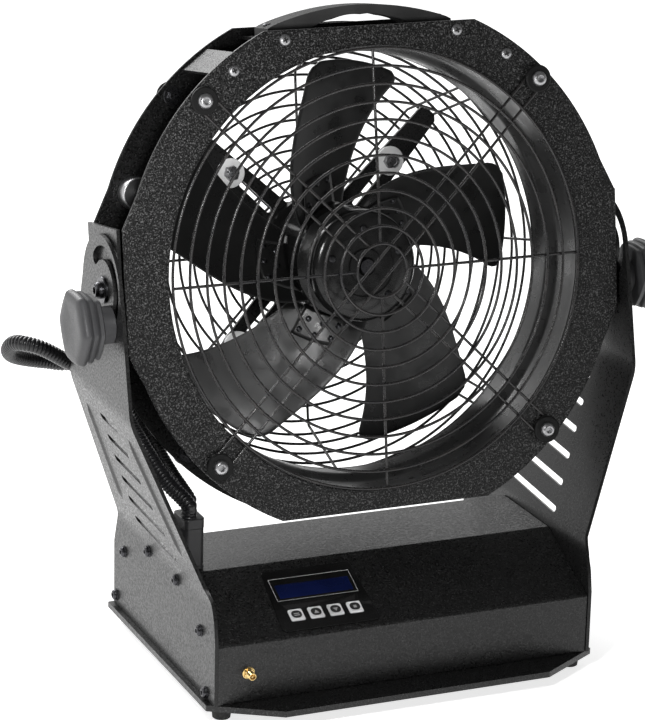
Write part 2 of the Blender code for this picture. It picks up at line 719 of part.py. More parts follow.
def grille(name, rings, band, arm_width, reach, thickness, look, quarter_steps=6):
    """A flat grille: rings joined by four diagonal arms that end in bolt lugs."""
    outer = rings[-1] + band / 2
    lug = 9 * MM
    outline = []
    for i in range(4):
        middle = 45 + 90 * i
        turn = asin(arm_width / 2 / outer) * 180 / pi
        lug_turn = acos(arm_width / 2 / lug) * 180 / pi
        x, y = reach * cos(radians(middle)), reach * sin(radians(middle))
        outline += arc(outer, middle - 90 + turn, middle - turn, quarter_steps)
        outline += arc(lug, middle - 180 + 90 - lug_turn, middle + 90 + lug_turn, 8, x, y)
    holes = [circle(rings[0] - band / 2, sides=16)]
    for inner, outer_ring in zip(rings, rings[1:]):
        low, high = inner + band / 2, outer_ring - band / 2
        for i in range(4):
            first, last = 45 + 90 * i, 135 + 90 * i
            turn_low = asin(arm_width / 2 / low) * 180 / pi
            turn_high = asin(arm_width / 2 / high) * 180 / pi
            holes.append(arc(low, first + turn_low, last - turn_low, quarter_steps)
                         + arc(high, last - turn_high, first + turn_high, quarter_steps))
    for u, v in [(reach * cos(radians(45 + 90 * i)), reach * sin(radians(45 + 90 * i)))
                 for i in range(4)]:
        holes.append(circle(4.4 * MM, u, v, 8))
    return flat_plate(name, outline, holes, thickness, look)


def make_front_guard():
    rings = [21.5 * MM + 26.4 * MM * i for i in range(7)]
    item = grille("front_guard", rings, WIRE, 15 * MM, GUARD_BOLT_R, WIRE, plastic())
    for vert in item.data.vertices:
        radius = hypot(vert.co.x, vert.co.y)
        vert.co.z -= 5 * MM * max(0.0, 1 - (radius / (170 * MM)) ** 2)
    place(item, HEAD @ Matrix.Translation((0, 0, -WIRE / 2 - GAP)))


def basket_profile(run):
    """The basket's side view: radius, W and lean at a run out from the fan's axis."""
    side = Vector((BASKET_MOUTH_R - BASKET_R, BASKET_MOUTH_W - BASKET_W))
    if run <= BASKET_R:
        return run, BASKET_W, Vector((0, 1))
    if run <= BASKET_R + side.length:
        spot = Vector((BASKET_R, BASKET_W)) + side.normalized() * (run - BASKET_R)
        return spot.x, spot.y, Vector((-side.y, side.x)).normalized()
    return BASKET_MOUTH_R + run - BASKET_R - side.length, BASKET_MOUTH_W, Vector((0, 1))


def basket_side():
    return hypot(BASKET_MOUTH_R - BASKET_R, BASKET_MOUTH_W - BASKET_W)


def basket(vert):
    """Fold a flat grille's rim forwards; arms keep their width, rings close up."""
    run = hypot(vert.x, vert.y)
    radius, w, normal = basket_profile(run)
    shift = radius - run + normal.x * vert.z
    diagonal = Vector((1 if vert.x > 0 else -1, 1 if vert.y > 0 else -1)) / 2 ** 0.5
    across = abs(vert.x * diagonal.y - vert.y * diagonal.x)
    way = diagonal if across < 10 * MM else Vector((vert.x, vert.y)) / run
    return Vector((vert.x + way.x * shift, vert.y + way.y * shift, w + normal.y * vert.z))


def make_rear_guard():
    side = basket_side()
    rings = [(21.5 + 25.4 * i) * MM for i in range(6)]
    rings += [BASKET_R + side * share for share in (0.28, 0.56, 0.86)]
    reach = GUARD_BOLT_R - BASKET_MOUTH_R + BASKET_R + side
    item = grille("rear_guard", rings, WIRE, 15 * MM, reach, WIRE, plastic())
    for vert in item.data.vertices:
        vert.co = basket(vert.co)
    place(item, HEAD)


def make_guard_bolts():
    for number, (u, v) in enumerate(guard_bolts()):
        start = head_point(u, v, 0)
        out = -HEAD_BACK
        profile = [(0, 10.5 * MM), (3.5 * MM, 10.5 * MM), (6.6 * MM, 8.2 * MM), (6.8 * MM, 6 * MM),
                   (11 * MM, 6 * MM), (11 * MM, 4.2 * MM), (3.9 * MM, 4.2 * MM),
                   (3.9 * MM, -12 * MM), (0, -12 * MM)]
        turned("guard_bolt_%d" % (number + 1), profile, start, out, steel(), 16)


# ---------------------------------------------------------------- motor and impeller

def axis_turned(name, profile, look, sides=28):
    """Turned about the fan's axis; the profile is (radius, W)."""
    flipped = [(radius, -w) for radius, w in profile]
    return turned(name, flipped, head_point(0, 0, 0), -HEAD_BACK, look, sides)


def make_motor():
    dark = material("motor_black", (0.015, 0.015, 0.016), 0.35)
    front, rear = ROTOR_FRONT_W, ROTOR_REAR_W
    wall = 3 * MM
    axis_turned("rotor_shell",
                [(6 * MM + GAP, front), (HUB_R - 4 * MM, front), (HUB_R, front + 4 * MM),
                 (HUB_R, rear), (HUB_R - wall, rear), (HUB_R - wall, front + 6 * MM),
                 (6 * MM + GAP, front + 6 * MM), (6 * MM + GAP, front)], dark, 40)
    axis_turned("motor_shaft", [(0, front - 3 * MM), (6 * MM, front - 3 * MM),
                                (6 * MM, rear + 4 * MM), (0, rear + 4 * MM)], steel(), 20)
    for name, w in (("front_bearing", front + 10 * MM), ("rear_bearing", rear - 12 * MM)):
        axis_turned(name, [(6 * MM + GAP, w), (14 * MM, w), (14 * MM, w + 10 * MM),
                           (6 * MM + GAP, w + 10 * MM), (6 * MM + GAP, w)], steel(), 20)
    outer = HUB_R - wall - 1 * MM
    bore = 14 * MM + GAP
    axis_turned("motor_stator",
                [(bore, front + 9 * MM), (outer, front + 9 * MM), (outer, rear - 8 * MM),
                 (36 * MM, rear - 6 * MM), (36 * MM, rear + 3 * MM), (50 * MM, rear + 3 * MM),
                 (50 * MM, rear + 11 * MM), (bore, rear + 11 * MM), (bore, front + 9 * MM)],
                dark, 28)
    bracket = flat_plate("motor_bracket", cross_outline(BRACKET_REACH, 9 * MM),
                         [circle(24 * MM, sides=16)], 3 * MM, coat())
    place(bracket, HEAD @ Matrix.Translation((0, 0, rear + 13 * MM)))


def cross_outline(reach, half):
    """A four-armed cross with its arms on the diagonals."""
    loop = []
    for i in range(4):
        turn = radians(45 + 90 * i)
        along = Vector((cos(turn), sin(turn)))
        across = Vector((-sin(turn), cos(turn)))
        inner = 48 * MM
        for run, side in ((inner, -half - 6 * MM), (reach, -half), (reach, half),
                          (inner, half + 6 * MM)):
            spot = along * run + across * side
            loop.append((spot.x, spot.y))
    return loop


def blade_point(along, across, turn):
    """A point on a blade: along 0 at the hub to 1 at the tip, across 0 in front to 1 behind."""
    radius = BLADE_ROOT_R + (TIP_R - BLADE_ROOT_R) * along
    reach = (radius - 110 * MM) / (60 * MM)
    front_angle = 112.1 - 23.5 * reach + 8.6 * reach ** 2
    rear_angle = 70.9 - 7.9 * reach - 2.3 * reach ** 2
    front_w = (69.9 + 7.2 * reach) * MM
    rear_w = (107.3 + 9.3 * reach) * MM
    angle = radians(turn + front_angle + (rear_angle - front_angle) * across)
    w = front_w + (rear_w - front_w) * across
    return Vector((radius * cos(angle), radius * sin(angle), w))


def make_blades():
    dark = material("blade_black", (0.012, 0.012, 0.013), 0.4)
    columns, rows = 5, 4
    for number in range(BLADES):
        shape = bmesh.new()
        grid = []
        for i in range(columns + 1):
            line = [blade_point(i / columns, j / rows, -72 * number) for j in range(rows + 1)]
            grid.append([shape.verts.new(HEAD @ p) for p in line])
        for i in range(columns):
            for j in range(rows):
                shape.faces.new((grid[i][j], grid[i + 1][j], grid[i + 1][j + 1], grid[i][j + 1]))
        item = from_bmesh("fan_blade_%d" % (number + 1), shape, dark)
        sheet = item.modifiers.new("sheet", "SOLIDIFY")
        sheet.thickness = 2 * MM
        sheet.offset = 0.0


# ---------------------------------------------------------------- clamps, hoses, capacitor

def make_clamps():
    knob_look = material("grey_plastic", (0.06, 0.06, 0.065), 0.5)
    face = ARM_TOP_X + ARM_THICK
    y, z = stud_offset()
    for side_name, side in (("left", -1), ("right", 1)):
        out = Vector((side, 0, 0))
        pivot = Vector((side * face, 0, PIVOT_Z))
        inner = -(face - 209 * MM)
        turned(side_name + "_pivot_bolt",
               [(0, 8.5 * MM), (6.5 * MM, 8.5 * MM), (8.5 * MM, 7 * MM), (8.5 * MM, 2.3 * MM),
                (11 * MM, 2.3 * MM), (11 * MM, GAP), (PIVOT_BOLT_R, GAP),
                (PIVOT_BOLT_R, inner), (0, inner)], pivot, out, steel(), 16)
        seat = Vector((side * face, y, PIVOT_Z + z))
        turned(side_name + "_clamp_stud",
               [(0, 20 * MM), (STUD_R, 20 * MM), (STUD_R, inner), (0, inner)],
               seat, out, steel(), 16)
        knob = lobed_knob(side_name + "_clamp_knob", knob_look)
        turn = Vector((0, 0, 1)).rotation_difference(out).to_matrix().to_4x4()
        knob.data.transform(turn)
        knob.location = seat


def knob_outline(radius, depth, sides=30):
    """A round outline with six shallow lobes."""
    loop = []
    for i in range(sides):
        a = 2 * pi * i / sides
        r = radius - depth * (0.5 - 0.5 * cos(6 * a))
        loop.append((r * cos(a), r * sin(a)))
    return loop


def lobed_knob(name, look):
    """Three stepped, lobed rings on a round collar, hollowed for the stud."""
    levels = [(15 * MM, GAP, 0), (15 * MM, 12 * MM, 0), (27 * MM, 12 * MM, 3 * MM),
              (28 * MM, 18 * MM, 3 * MM), (30 * MM, 18.5 * MM, 3 * MM),
              (31 * MM, 30 * MM, 3 * MM), (26 * MM, 33 * MM, 2 * MM)]
    shape = bmesh.new()
    rings = []
    for radius, height, depth in levels:
        rings.append([shape.verts.new((x, y, height)) for x, y in knob_outline(radius, depth)])
    count = len(rings[0])
    for low, high in zip(rings, rings[1:]):
        for i in range(count):
            j = (i + 1) % count
            shape.faces.new((low[i], low[j], high[j], high[i]))
    shape.faces.new(rings[-1])
    bore = STUD_R + GAP
    depth = 20 * MM + GAP
    floor = [shape.verts.new((x, y, depth)) for x, y in circle(bore, sides=count)]
    mouth = [shape.verts.new((x, y, GAP)) for x, y in circle(bore, sides=count)]
    for i in range(count):
        j = (i + 1) % count
        shape.faces.new((mouth[i], mouth[j], rings[0][j], rings[0][i]))
        shape.faces.new((mouth[i], floor[i], floor[j], mouth[j]))
    shape.faces.new(list(reversed(floor)))
    return from_bmesh(name, shape, look)


def millimetres(points):
    return [Vector(point) * MM for point in points]


def hose_routes():
    """Both hoses, from the base gland to the glands on the head's rear plate."""
    start_a = Vector((-157.2 * MM, -20 * MM, GLAND_TOP + GAP))
    start_b = Vector((-152.2 * MM, -6 * MM, GLAND_TOP + GAP))
    end_a = head_gland_mouth(15 * MM)
    end_b = head_gland_mouth(-13 * MM)
    lift = Vector((0, 0, 9 * MM))
    back = HEAD_BACK * 9 * MM
    route_a = [start_a, start_a + lift * 0.5, start_a + lift]
    route_a += millimetres([(-161, -14, 149), (-168, -4, 157), (-175, 8, 169),
                            (-183, 29, 188), (-190, 62, 208), (-199, 80, 221), (-209, 90, 231),
                            (-223, 92, 239.3), (-242, 93, 251), (-255, 99, 255), (-262, 111, 253),
                            (-262, 126, 243), (-254, 141, 233), (-240, 150, 226), (-221, 153, 221),
                            (-203, 152, 218), (-188, 148, 225), (-181, 141, 241), (-184, 131, 266),
                            (-194, 121, 290)])
    route_a += [end_a + back * 2.8, end_a + back * 1.6, end_a + back * 0.8, end_a]
    route_b = [start_b, start_b + lift * 0.5, start_b + lift]
    route_b += millimetres([(-155, 3, 150), (-160, 18, 161), (-166, 38, 178),
                            (-171, 60, 201), (-176, 86, 218), (-186, 102, 250), (-195, 106, 282)])
    route_b += [end_b + back * 2.4, end_b + back * 1.6, end_b + back * 0.8, end_b]
    return route_a, route_b


def head_gland_mouth(v):
    return head_point(-199 * MM, v, HEAD_DEPTH + 22 * MM)


def make_hoses():
    look = material("conduit", (0.02, 0.02, 0.02), 0.6)
    route_a, route_b = hose_routes()
    tube("looped_hose", smooth_route(route_a, 100), HOSE_R, look)
    tube("straight_hose", smooth_route(route_b, 48), HOSE_R, look)
    box("base_gland", (-163.8 * MM, -27 * MM, COVER_TOP_Z + GAP),
        (-145.2 * MM, 1 * MM, GLAND_TOP - GAP), plastic())
    for number, v in ((1, 15 * MM), (2, -13 * MM)):
        mouth = head_gland_mouth(v)
        turned("head_gland_%d" % number,
               [(0, -GAP), (8 * MM, -GAP), (8 * MM, -12 * MM), (10 * MM, -13 * MM),
                (10 * MM, -22 * MM + GAP), (0, -22 * MM + GAP)], mouth, HEAD_BACK, plastic(), 16)


def make_capacitor():
    can = material("aluminium_can", (0.5, 0.5, 0.5), 0.35, 1.0)
    cylinder("run_capacitor", CAPACITOR_R,
             head_point(CAPACITOR_U, CAPACITOR_V, CAPACITOR_FRONT_W),
             head_point(CAPACITOR_U, CAPACITOR_V, HEAD_DEPTH - SHEET - GAP), can)


def main():
    make_base_plate()
    make_base_cover()
    make_base_fittings()
    make_panel()
    make_arms()
    head_plate("front_plate", 0.0, OPENING_R)
    head_plate("rear_plate", HEAD_DEPTH - SHEET, THROAT_R)
    make_duct()
    make_head_braces()
    make_handle()
    make_front_guard()
    make_rear_guard()
    make_guard_bolts()
    make_motor()
    make_blades()
    make_clamps()
    make_hoses()
    make_capacitor()


main()
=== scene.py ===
import json
from math import atan2, cos, hypot, pi, radians, sin
import bmesh
import bpy
from mathutils import Matrix, Vector


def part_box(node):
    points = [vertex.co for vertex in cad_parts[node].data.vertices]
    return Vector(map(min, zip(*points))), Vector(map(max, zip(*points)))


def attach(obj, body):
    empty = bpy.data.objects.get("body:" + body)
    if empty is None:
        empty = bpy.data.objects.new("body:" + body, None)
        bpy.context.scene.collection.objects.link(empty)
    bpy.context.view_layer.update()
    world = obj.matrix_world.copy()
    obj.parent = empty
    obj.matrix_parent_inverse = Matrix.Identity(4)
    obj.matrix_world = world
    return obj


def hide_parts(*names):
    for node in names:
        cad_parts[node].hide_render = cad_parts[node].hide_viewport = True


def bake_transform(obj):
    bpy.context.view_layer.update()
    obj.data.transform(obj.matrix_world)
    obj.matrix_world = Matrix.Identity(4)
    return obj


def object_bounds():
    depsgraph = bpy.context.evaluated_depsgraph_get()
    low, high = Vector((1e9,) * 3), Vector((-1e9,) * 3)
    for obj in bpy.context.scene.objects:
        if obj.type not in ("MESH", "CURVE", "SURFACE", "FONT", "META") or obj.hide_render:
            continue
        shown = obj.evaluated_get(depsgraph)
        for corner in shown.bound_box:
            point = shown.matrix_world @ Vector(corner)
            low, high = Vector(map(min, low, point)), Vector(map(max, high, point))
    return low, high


# The looks of a stage fan on a tilting yoke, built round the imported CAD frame.
# +Z is up, the fan blows towards -Y, and +X is its right side seen from the front.

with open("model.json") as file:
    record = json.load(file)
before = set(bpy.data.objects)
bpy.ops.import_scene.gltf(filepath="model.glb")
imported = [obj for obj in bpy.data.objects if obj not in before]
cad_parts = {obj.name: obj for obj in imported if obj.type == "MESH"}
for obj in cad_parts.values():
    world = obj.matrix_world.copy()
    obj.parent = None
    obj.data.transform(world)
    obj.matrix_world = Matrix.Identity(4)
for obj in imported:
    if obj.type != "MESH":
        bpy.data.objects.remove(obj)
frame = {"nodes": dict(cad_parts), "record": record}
cad_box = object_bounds()
JOINTS = {joint["name"]: joint for joint in frame["record"]["behaviour"]["joints"]}
MM = 0.001

# Head frame: U to the right, V up, W backwards from the front plate's face
HEAD_FRONT = 31.0 * MM
HEAD_DEPTH = 71.0 * MM
SHEET = 3.0 * MM
OUTLINE_R = 216.0 * MM
TOP_V = 195.8 * MM
EAR_U = 215.7 * MM
EAR_V = 49.0 * MM
EAR_ROOT_V = 75.0 * MM
OPENING_R = 179.5 * MM
THROAT_R = 173.0 * MM
GUARD_BOLT_R = 205.0 * MM

# Wire guards
DIAGONALS = [radians(45 + 90 * i) for i in range(4)]
WIRE_R = 1.2 * MM
FRONT_RING_R = 21.7 * MM
FRONT_RING_PITCH = 14.2 * MM
FRONT_RINGS = 12
REAR_RING_R = 21.5 * MM
REAR_RING_PITCH = 12.7 * MM
REAR_FLAT_RINGS = 11
REAR_SIDE_RINGS = 7
ARM_HALF = 7.2 * MM                # half the gap between a diagonal's two wires
BASKET_W = 162.0 * MM
BASKET_R = 152.0 * MM
BASKET_MOUTH_R = 195.0 * MM
BASKET_MOUTH_W = HEAD_DEPTH + 2.0 * MM

# Motor and impeller
BLADES = 5
HUB_R = 46.0 * MM
ROTOR_FRONT_W = 26.0 * MM
ROTOR_REAR_W = 122.0 * MM
BLADE_ROOT_R = 47.0 * MM
TIP_R = 164.5 * MM
BRACKET_W = 135.0 * MM
BRACKET_THICK = 3.0 * MM
BRACKET_NUT = 72.7 * MM            # U and V of the nuts on the bracket's arms

# Yoke
ARM_THICK = 3.0 * MM
ARM_TOP_X = 220.0 * MM
ARM_LOW_X = 164.3 * MM
ARM_BEND_LOW_Z = 91.0 * MM
ARM_BEND_HIGH_Z = 233.0 * MM
BEND_HALF = 7.0 * MM               # half the length of each rounded bend
ARM_FOOT_Z = 5.3 * MM
SLOT_RADIUS = 29.0 * MM
SLOT_HALF = 5.6 * MM
STUD_ANGLE = 236.0
KNOB_SLEEVE = 12.1 * MM            # height of the plain sleeve under the knob's grip

# Base
BASE_HALF_X = 164.0 * MM
COVER_FRONT_Y = -106.0 * MM
COVER_REAR_Y = 131.5 * MM
COVER_KNEE_Z = 55.5 * MM
COVER_TOP_Z = 90.0 * MM
COVER_TOP_FRONT_Y = -31.0 * MM
COVER_TOP_REAR_Y = 52.0 * MM
COVER_FOOT_Z = 5.3 * MM
COVER_WALL = 1.5 * MM
PANEL_CENTRE_X = -64.4 * MM
LCD_WIDTH = 71.2 * MM
LCD_HEIGHT = 25.0 * MM
LCD_UP = 50.5 * MM
BUTTON_UP = 21.0 * MM
BUTTON_SIZE = 12.0 * MM
BUTTON_PITCH = 17.0 * MM
HOSE_R = 6.5 * MM
HOSE_PITCH = 3.0 * MM
GLAND_TOP = 134.0 * MM
HEAD_GLANDS_V = (15.0 * MM, -13.0 * MM)


# ---------------------------------------------------------------- frames of reference

def head_matrix():
    """U, V, W of the head to the row frame, from the tilt and spin joints."""
    pivot = Vector(JOINTS["head_tilt"]["pos_m"])
    back = Vector(JOINTS["fan_spin"]["axis"]).normalized()
    right = Vector((1, 0, 0))
    up = right.cross(back)
    axes = Matrix((right, up, back)).transposed().to_4x4()
    return Matrix.Translation(pivot - back * HEAD_FRONT) @ axes


HEAD = head_matrix()
HEAD_BACK = HEAD.to_3x3() @ Vector((0, 0, 1))
PIVOT_Z = JOINTS["head_tilt"]["pos_m"][2]


def head_point(u, v, w):
    return HEAD @ Vector((u, v, w))


def axes_at(turn):
    """Unit vectors along and across a direction in the head's UV plane."""
    along = Vector((cos(turn), sin(turn)))
    return along, Vector((-along.y, along.x))


def node_box(name):
    """The low corner, high corner and middle of a CAD node."""
    low, high = (Vector(corner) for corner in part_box(name))
    return low, high, (low + high) / 2


def slope_matrix():
    """The sloping display panel: X right, Y up the slope, Z out of the face."""
    up = Vector((0, COVER_TOP_FRONT_Y - COVER_FRONT_Y, COVER_TOP_Z - COVER_KNEE_Z))
    up.normalize()
    right = Vector((1, 0, 0))
    turn = Matrix((right, up, right.cross(up))).transposed().to_4x4()
    return Matrix.Translation((0, COVER_FRONT_Y, COVER_KNEE_Z)) @ turn


SLOPE = slope_matrix()


def looking(place, axis):
    """A frame at a place with its Z along an axis."""
    turn = Vector((0, 0, 1)).rotation_difference(Vector(axis)).to_matrix().to_4x4()
    return Matrix.Translation(place) @ turn


def link(item):
    bpy.context.scene.collection.objects.link(item)


# ---------------------------------------------------------------- materials

def add_node(tree, kind, values=(), links=()):
    """A shader node with its input values, and the outputs that feed it."""
    node = tree.nodes.new(kind)
    for name, value in values:
        node.inputs[name].default_value = value
    for name, source in links:
        tree.links.new(source, node.inputs[name])
    return node


class Look:
    """A Principled material whose colour, roughness and bump come from nodes."""

    def __init__(self, name, colour, roughness, metallic=0.0, specular=0.5, coat=0.0):
        self.made = bpy.data.materials.new(name)
        self.made.use_nodes = True
        self.tree = self.made.node_tree
        self.shader = self.tree.nodes["Principled BSDF"]
        for field, value in (("Base Color", (*colour, 1.0)), ("Roughness", roughness),
                             ("Metallic", metallic), ("Specular IOR Level", specular),
                             ("Coat Weight", coat), ("Coat Roughness", 0.12)):
            self.shader.inputs[field].default_value = value
        self.made.diffuse_color = (*colour, 1.0)
        self.place = self.tree.nodes.new("ShaderNodeTexCoord").outputs["Object"]
        self.height = None

    def stretched(self, factors):
        """Object coordinates scaled along each axis, for brushed or drawn marks."""
        return add_node(self.tree, "ShaderNodeMapping", [("Scale", factors)],
                        [("Vector", self.place)]).outputs["Vector"]

    def noise(self, scale, detail=3.0, place=None):
        return add_node(self.tree, "ShaderNodeTexNoise", [("Scale", scale), ("Detail", detail)],
                        [("Vector", place or self.place)]).outputs["Fac"]

    def cells(self, scale, randomness=1.0):
        return add_node(self.tree, "ShaderNodeTexVoronoi",
                        [("Scale", scale), ("Randomness", randomness)],
                        [("Vector", self.place)]).outputs["Distance"]

    def ramp(self, source, stops):
        """Grey or coloured stops along a source's value."""
        node = add_node(self.tree, "ShaderNodeValToRGB", [], [("Fac", source)])
        scale = node.color_ramp
        while len(scale.elements) < len(stops):
            scale.elements.new(0.5)
        for element, (position, value) in zip(scale.elements, stops):
            element.position = position
            colour = value if isinstance(value, tuple) else (value, value, value)
            element.color = (*colour, 1.0)
        return node.outputs["Color"]

    def lighter(self, first, second):
        """The lighter of two colours, as where painted glint specks lie on a coat."""
        node = self.tree.nodes.new("ShaderNodeMix")
        node.data_type = "RGBA"
        node.blend_type = "LIGHTEN"
        node.inputs["Factor"].default_value = 1.0
        self.tree.links.new(first, node.inputs["A"])
        self.tree.links.new(second, node.inputs["B"])
        return node.outputs["Result"]

    def paint(self, colour):
        self.tree.links.new(colour, self.shader.inputs["Base Color"])
        return self

    def shine(self, source, low, high, start=0.35, end=0.65):
        """Roughness that runs from low to high over part of a source's range."""
        node = add_node(self.tree, "ShaderNodeMapRange",
                        [("From Min", start), ("From Max", end), ("To Min", low), ("To Max", high)],
                        [("Value", source)])
        self.tree.links.new(node.outputs["Result"], self.shader.inputs["Roughness"])
        return self

    def bump(self, source, depth):
        """Relief of that depth in metres, on top of any relief given before."""
        links = [("Height", source)] + ([("Normal", self.height)] if self.height else [])
        node = add_node(self.tree, "ShaderNodeBump", [("Strength", 1.0), ("Distance", depth)], links)
        self.height = node.outputs["Normal"]
        self.tree.links.new(self.height, self.shader.inputs["Normal"])
        return self


def textured_coat(name, body, glint_speck, relief, sheen):
    """Wrinkled black powder coat with fine relief; the light specks on the black are painted glints
    off its grain.
    """
    look = Look(name, (body, body, body), 0.4, specular=sheen)
    wrinkle = look.noise(560.0, 3.0)
    glint_noise = look.noise(820.0, 1.0)
    base = look.ramp(look.noise(260.0, 2.0), [(0.3, body * 0.7), (0.7, body * 1.4)])
    # Painted highlights: bright specks in the colour stand in for glints off the wrinkled coat
    painted_glints = look.ramp(glint_noise, [(0.50, 0.0), (0.60, glint_speck * 0.4), (0.72, glint_speck)])
    look.paint(look.lighter(base, painted_glints))
    look.shine(wrinkle, 0.22, 0.46)
    look.bump(wrinkle, relief).bump(look.noise(1300.0, 2.0), relief * 0.3)
    return look.made


def satin_sheet(name, body, roughness):
    """Thin satin paint over rolled sheet, with handling marks."""
    look = Look(name, (body, body, body), roughness, specular=0.5)
    broad = look.noise(9.0, 4.0)
    fine = look.noise(900.0, 3.0)
    look.paint(look.ramp(broad, [(0.3, body * 0.8), (0.7, body * 1.4)]))
    look.shine(look.noise(60.0, 5.0), roughness * 0.75, roughness * 1.3)
    look.bump(fine, 0.05 * MM).bump(broad, 0.4 * MM)
    return look.made


def plated_wire():
    """Glossy black dip coat on steel wire, thinner and browner in places."""
    look = Look("guard_black", (0.012, 0.012, 0.012), 0.25, specular=0.6)
    flow = look.noise(45.0, 4.0)
    look.paint(look.ramp(flow, [(0.3, (0.010, 0.010, 0.011)), (0.75, (0.022, 0.020, 0.019))]))
    look.shine(look.noise(180.0, 3.0), 0.18, 0.36)
    look.bump(look.noise(500.0, 3.0), 0.06 * MM)
    return look.made


def moulded(name, colour, roughness, relief=0.05 * MM, sheen=0.5):
    """Moulded plastic: a fine spark-eroded grain with faint flow clouds."""
    look = Look(name, colour, roughness, specular=sheen)
    clouds = look.noise(30.0, 3.0)
    grain = look.noise(1400.0, 2.0)
    dark = tuple(value * 0.8 for value in colour)
    light = tuple(value * 1.25 for value in colour)
    look.paint(look.ramp(clouds, [(0.3, dark), (0.7, light)]))
    look.shine(grain, roughness * 0.8, roughness * 1.2)
    look.bump(grain, relief)
    return look.made


def metal(name, colour, roughness, drawn=(1.0, 1.0, 1.0)):
    """Plated or bright metal with fine machining marks."""
    look = Look(name, colour, roughness, metallic=1.0)
    marks = look.noise(1200.0, 3.0, look.stretched(drawn))
    dull = look.noise(120.0, 4.0)
    dark = tuple(value * 0.72 for value in colour)
    look.paint(look.ramp(dull, [(0.3, dark), (0.65, colour)]))
    look.shine(marks, roughness * 0.7, roughness * 1.4)
    look.bump(marks, 0.03 * MM)
    return look.made


def gloss_panel():
    look = Look("gloss_black", (0.006, 0.006, 0.007), 0.09, specular=0.55, coat=0.6)
    dust = look.noise(1600.0, 2.0)
    look.paint(look.ramp(look.noise(24.0, 3.0), [(0.3, 0.005), (0.7, 0.011)]))
    look.shine(dust, 0.05, 0.16, 0.4, 0.8)
    look.bump(look.noise(40.0, 2.0), 0.02 * MM)
    return look.made


def lcd_glass():
    """Dark blue negative LCD: a faint pixel grid behind a smooth window."""
    look = Look("lcd_glass", (0.004, 0.007, 0.035), 0.08, specular=0.4, coat=0.2)
    grid = look.cells(1500.0, 0.0)
    glow = look.ramp(look.noise(22.0, 2.0),
                     [(0.3, (0.003, 0.005, 0.024)), (0.7, (0.006, 0.011, 0.06))])
    dots = look.ramp(grid, [(0.35, (0.0, 0.0, 0.0)), (0.6, (0.003, 0.005, 0.026))])
    look.paint(look.lighter(glow, dots))
    look.shine(look.noise(300.0, 2.0), 0.05, 0.14)
    look.bump(look.noise(60.0, 2.0), 0.01 * MM)
    return look.made


def rubber():
    look = Look("rubber", (0.018, 0.018, 0.019), 0.8, specular=0.3)
    dust = look.noise(240.0, 5.0)
    look.paint(look.ramp(dust, [(0.4, (0.014, 0.014, 0.015)), (0.8, (0.05, 0.048, 0.045))]))
    look.shine(dust, 0.7, 0.92)
    look.bump(look.noise(1100.0, 3.0), 0.12 * MM)
    return look.made


def circuit_board():
    look = Look("circuit_board", (0.01, 0.09, 0.03), 0.4)
    tracks = look.cells(380.0, 0.35)
    look.paint(look.ramp(tracks, [(0.25, (0.01, 0.16, 0.05)), (0.4, (0.006, 0.07, 0.025))]))
    look.shine(look.noise(500.0, 2.0), 0.3, 0.5)
    look.bump(tracks, 0.08 * MM)
    return look.made


def printed(name, shade):
    """Screen-printed ink on the display overlay."""
    look = Look(name, (shade, shade, shade), 0.5)
    edge = look.noise(1800.0, 2.0)
    look.paint(look.ramp(edge, [(0.3, shade * 0.8), (0.7, shade)]))
    look.bump(edge, 0.02 * MM)
    return look.made


# In each textured coat, the value after the body sets how bright its painted glint specks are
LOOKS = {
    "black_textured_coat": textured_coat("textured_coat", 0.005, 0.095, 0.40 * MM, 0.26),
    "guard_black": plated_wire(),
    "blade_black": satin_sheet("blade_black", 0.004, 0.34),
    "motor_black": satin_sheet("motor_black", 0.008, 0.16),
    "zinc_steel": metal("zinc_steel", (0.52, 0.52, 0.53), 0.33),
    "button_silver": moulded("button_silver", (0.80, 0.80, 0.81), 0.3),
    "grey_plastic": moulded("grey_plastic", (0.040, 0.040, 0.042), 0.48),
    "black_plastic": moulded("black_plastic", (0.016, 0.016, 0.017), 0.42),
    "conduit": moulded("conduit", (0.009, 0.009, 0.010), 0.30, 0.03 * MM),
    "gloss_black": gloss_panel(),
    "lcd_glass": lcd_glass(),
    "circuit_board": circuit_board(),
    "aluminium_can": metal("aluminium_can", (0.55, 0.55, 0.56), 0.3, (1.0, 14.0, 1.0)),
    "brass": metal("brass", (0.83, 0.60, 0.26), 0.24),
    "rubber": rubber(),
}
DUCT_PAINT = satin_sheet("duct_paint", 0.022, 0.30)
BASE_COAT = textured_coat("base_coat", 0.006, 0.045, 0.25 * MM, 0.42)
SMOOTH_COAT = textured_coat("smooth_coat", 0.009, 0.010, 0.03 * MM, 0.34)
BLACK_SCREW = metal("black_screw", (0.07, 0.07, 0.075), 0.3)
# Painted shade: near-black crosses that stand for the shaded hollows of screw recesses
RECESS_SHADE = moulded("recess", (0.006, 0.006, 0.006), 0.6)
LIGHT_ZINC = moulded("light_zinc", (0.78, 0.78, 0.78), 0.4)
DULL_ZINC = metal("dull_zinc", (0.34, 0.34, 0.35), 0.3)
WASHER_BLACK = moulded("washer_black", (0.005, 0.005, 0.005), 0.55, sheen=0.25)
GRIP = moulded("handle_grip", (0.045, 0.045, 0.045), 0.7, 0.12 * MM, 0.2)
# Painted shade: a darker copy of the coat, with fewer specks, for the rear plate that the front plate
# shades
SHADED_REAR_COAT = textured_coat("rear_coat", 0.003, 0.022, 0.40 * MM, 0.2)
WHITE_INK = printed("white_ink", 0.5)
DARK_INK = printed("dark_ink", 0.02)


# ---------------------------------------------------------------- building pieces

def dress(item, slot, body, nodes=(), look=None):
    """Finish a piece: its material (the slot's look unless another is given), its body, and the CAD
    it stands for hidden.
    """
    if not item.users_collection:
        link(item)
    item.data.materials.clear()
    item.data.materials.append(look or LOOKS[slot])
    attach(item, body)
    if nodes:
        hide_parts(*nodes)
    return item


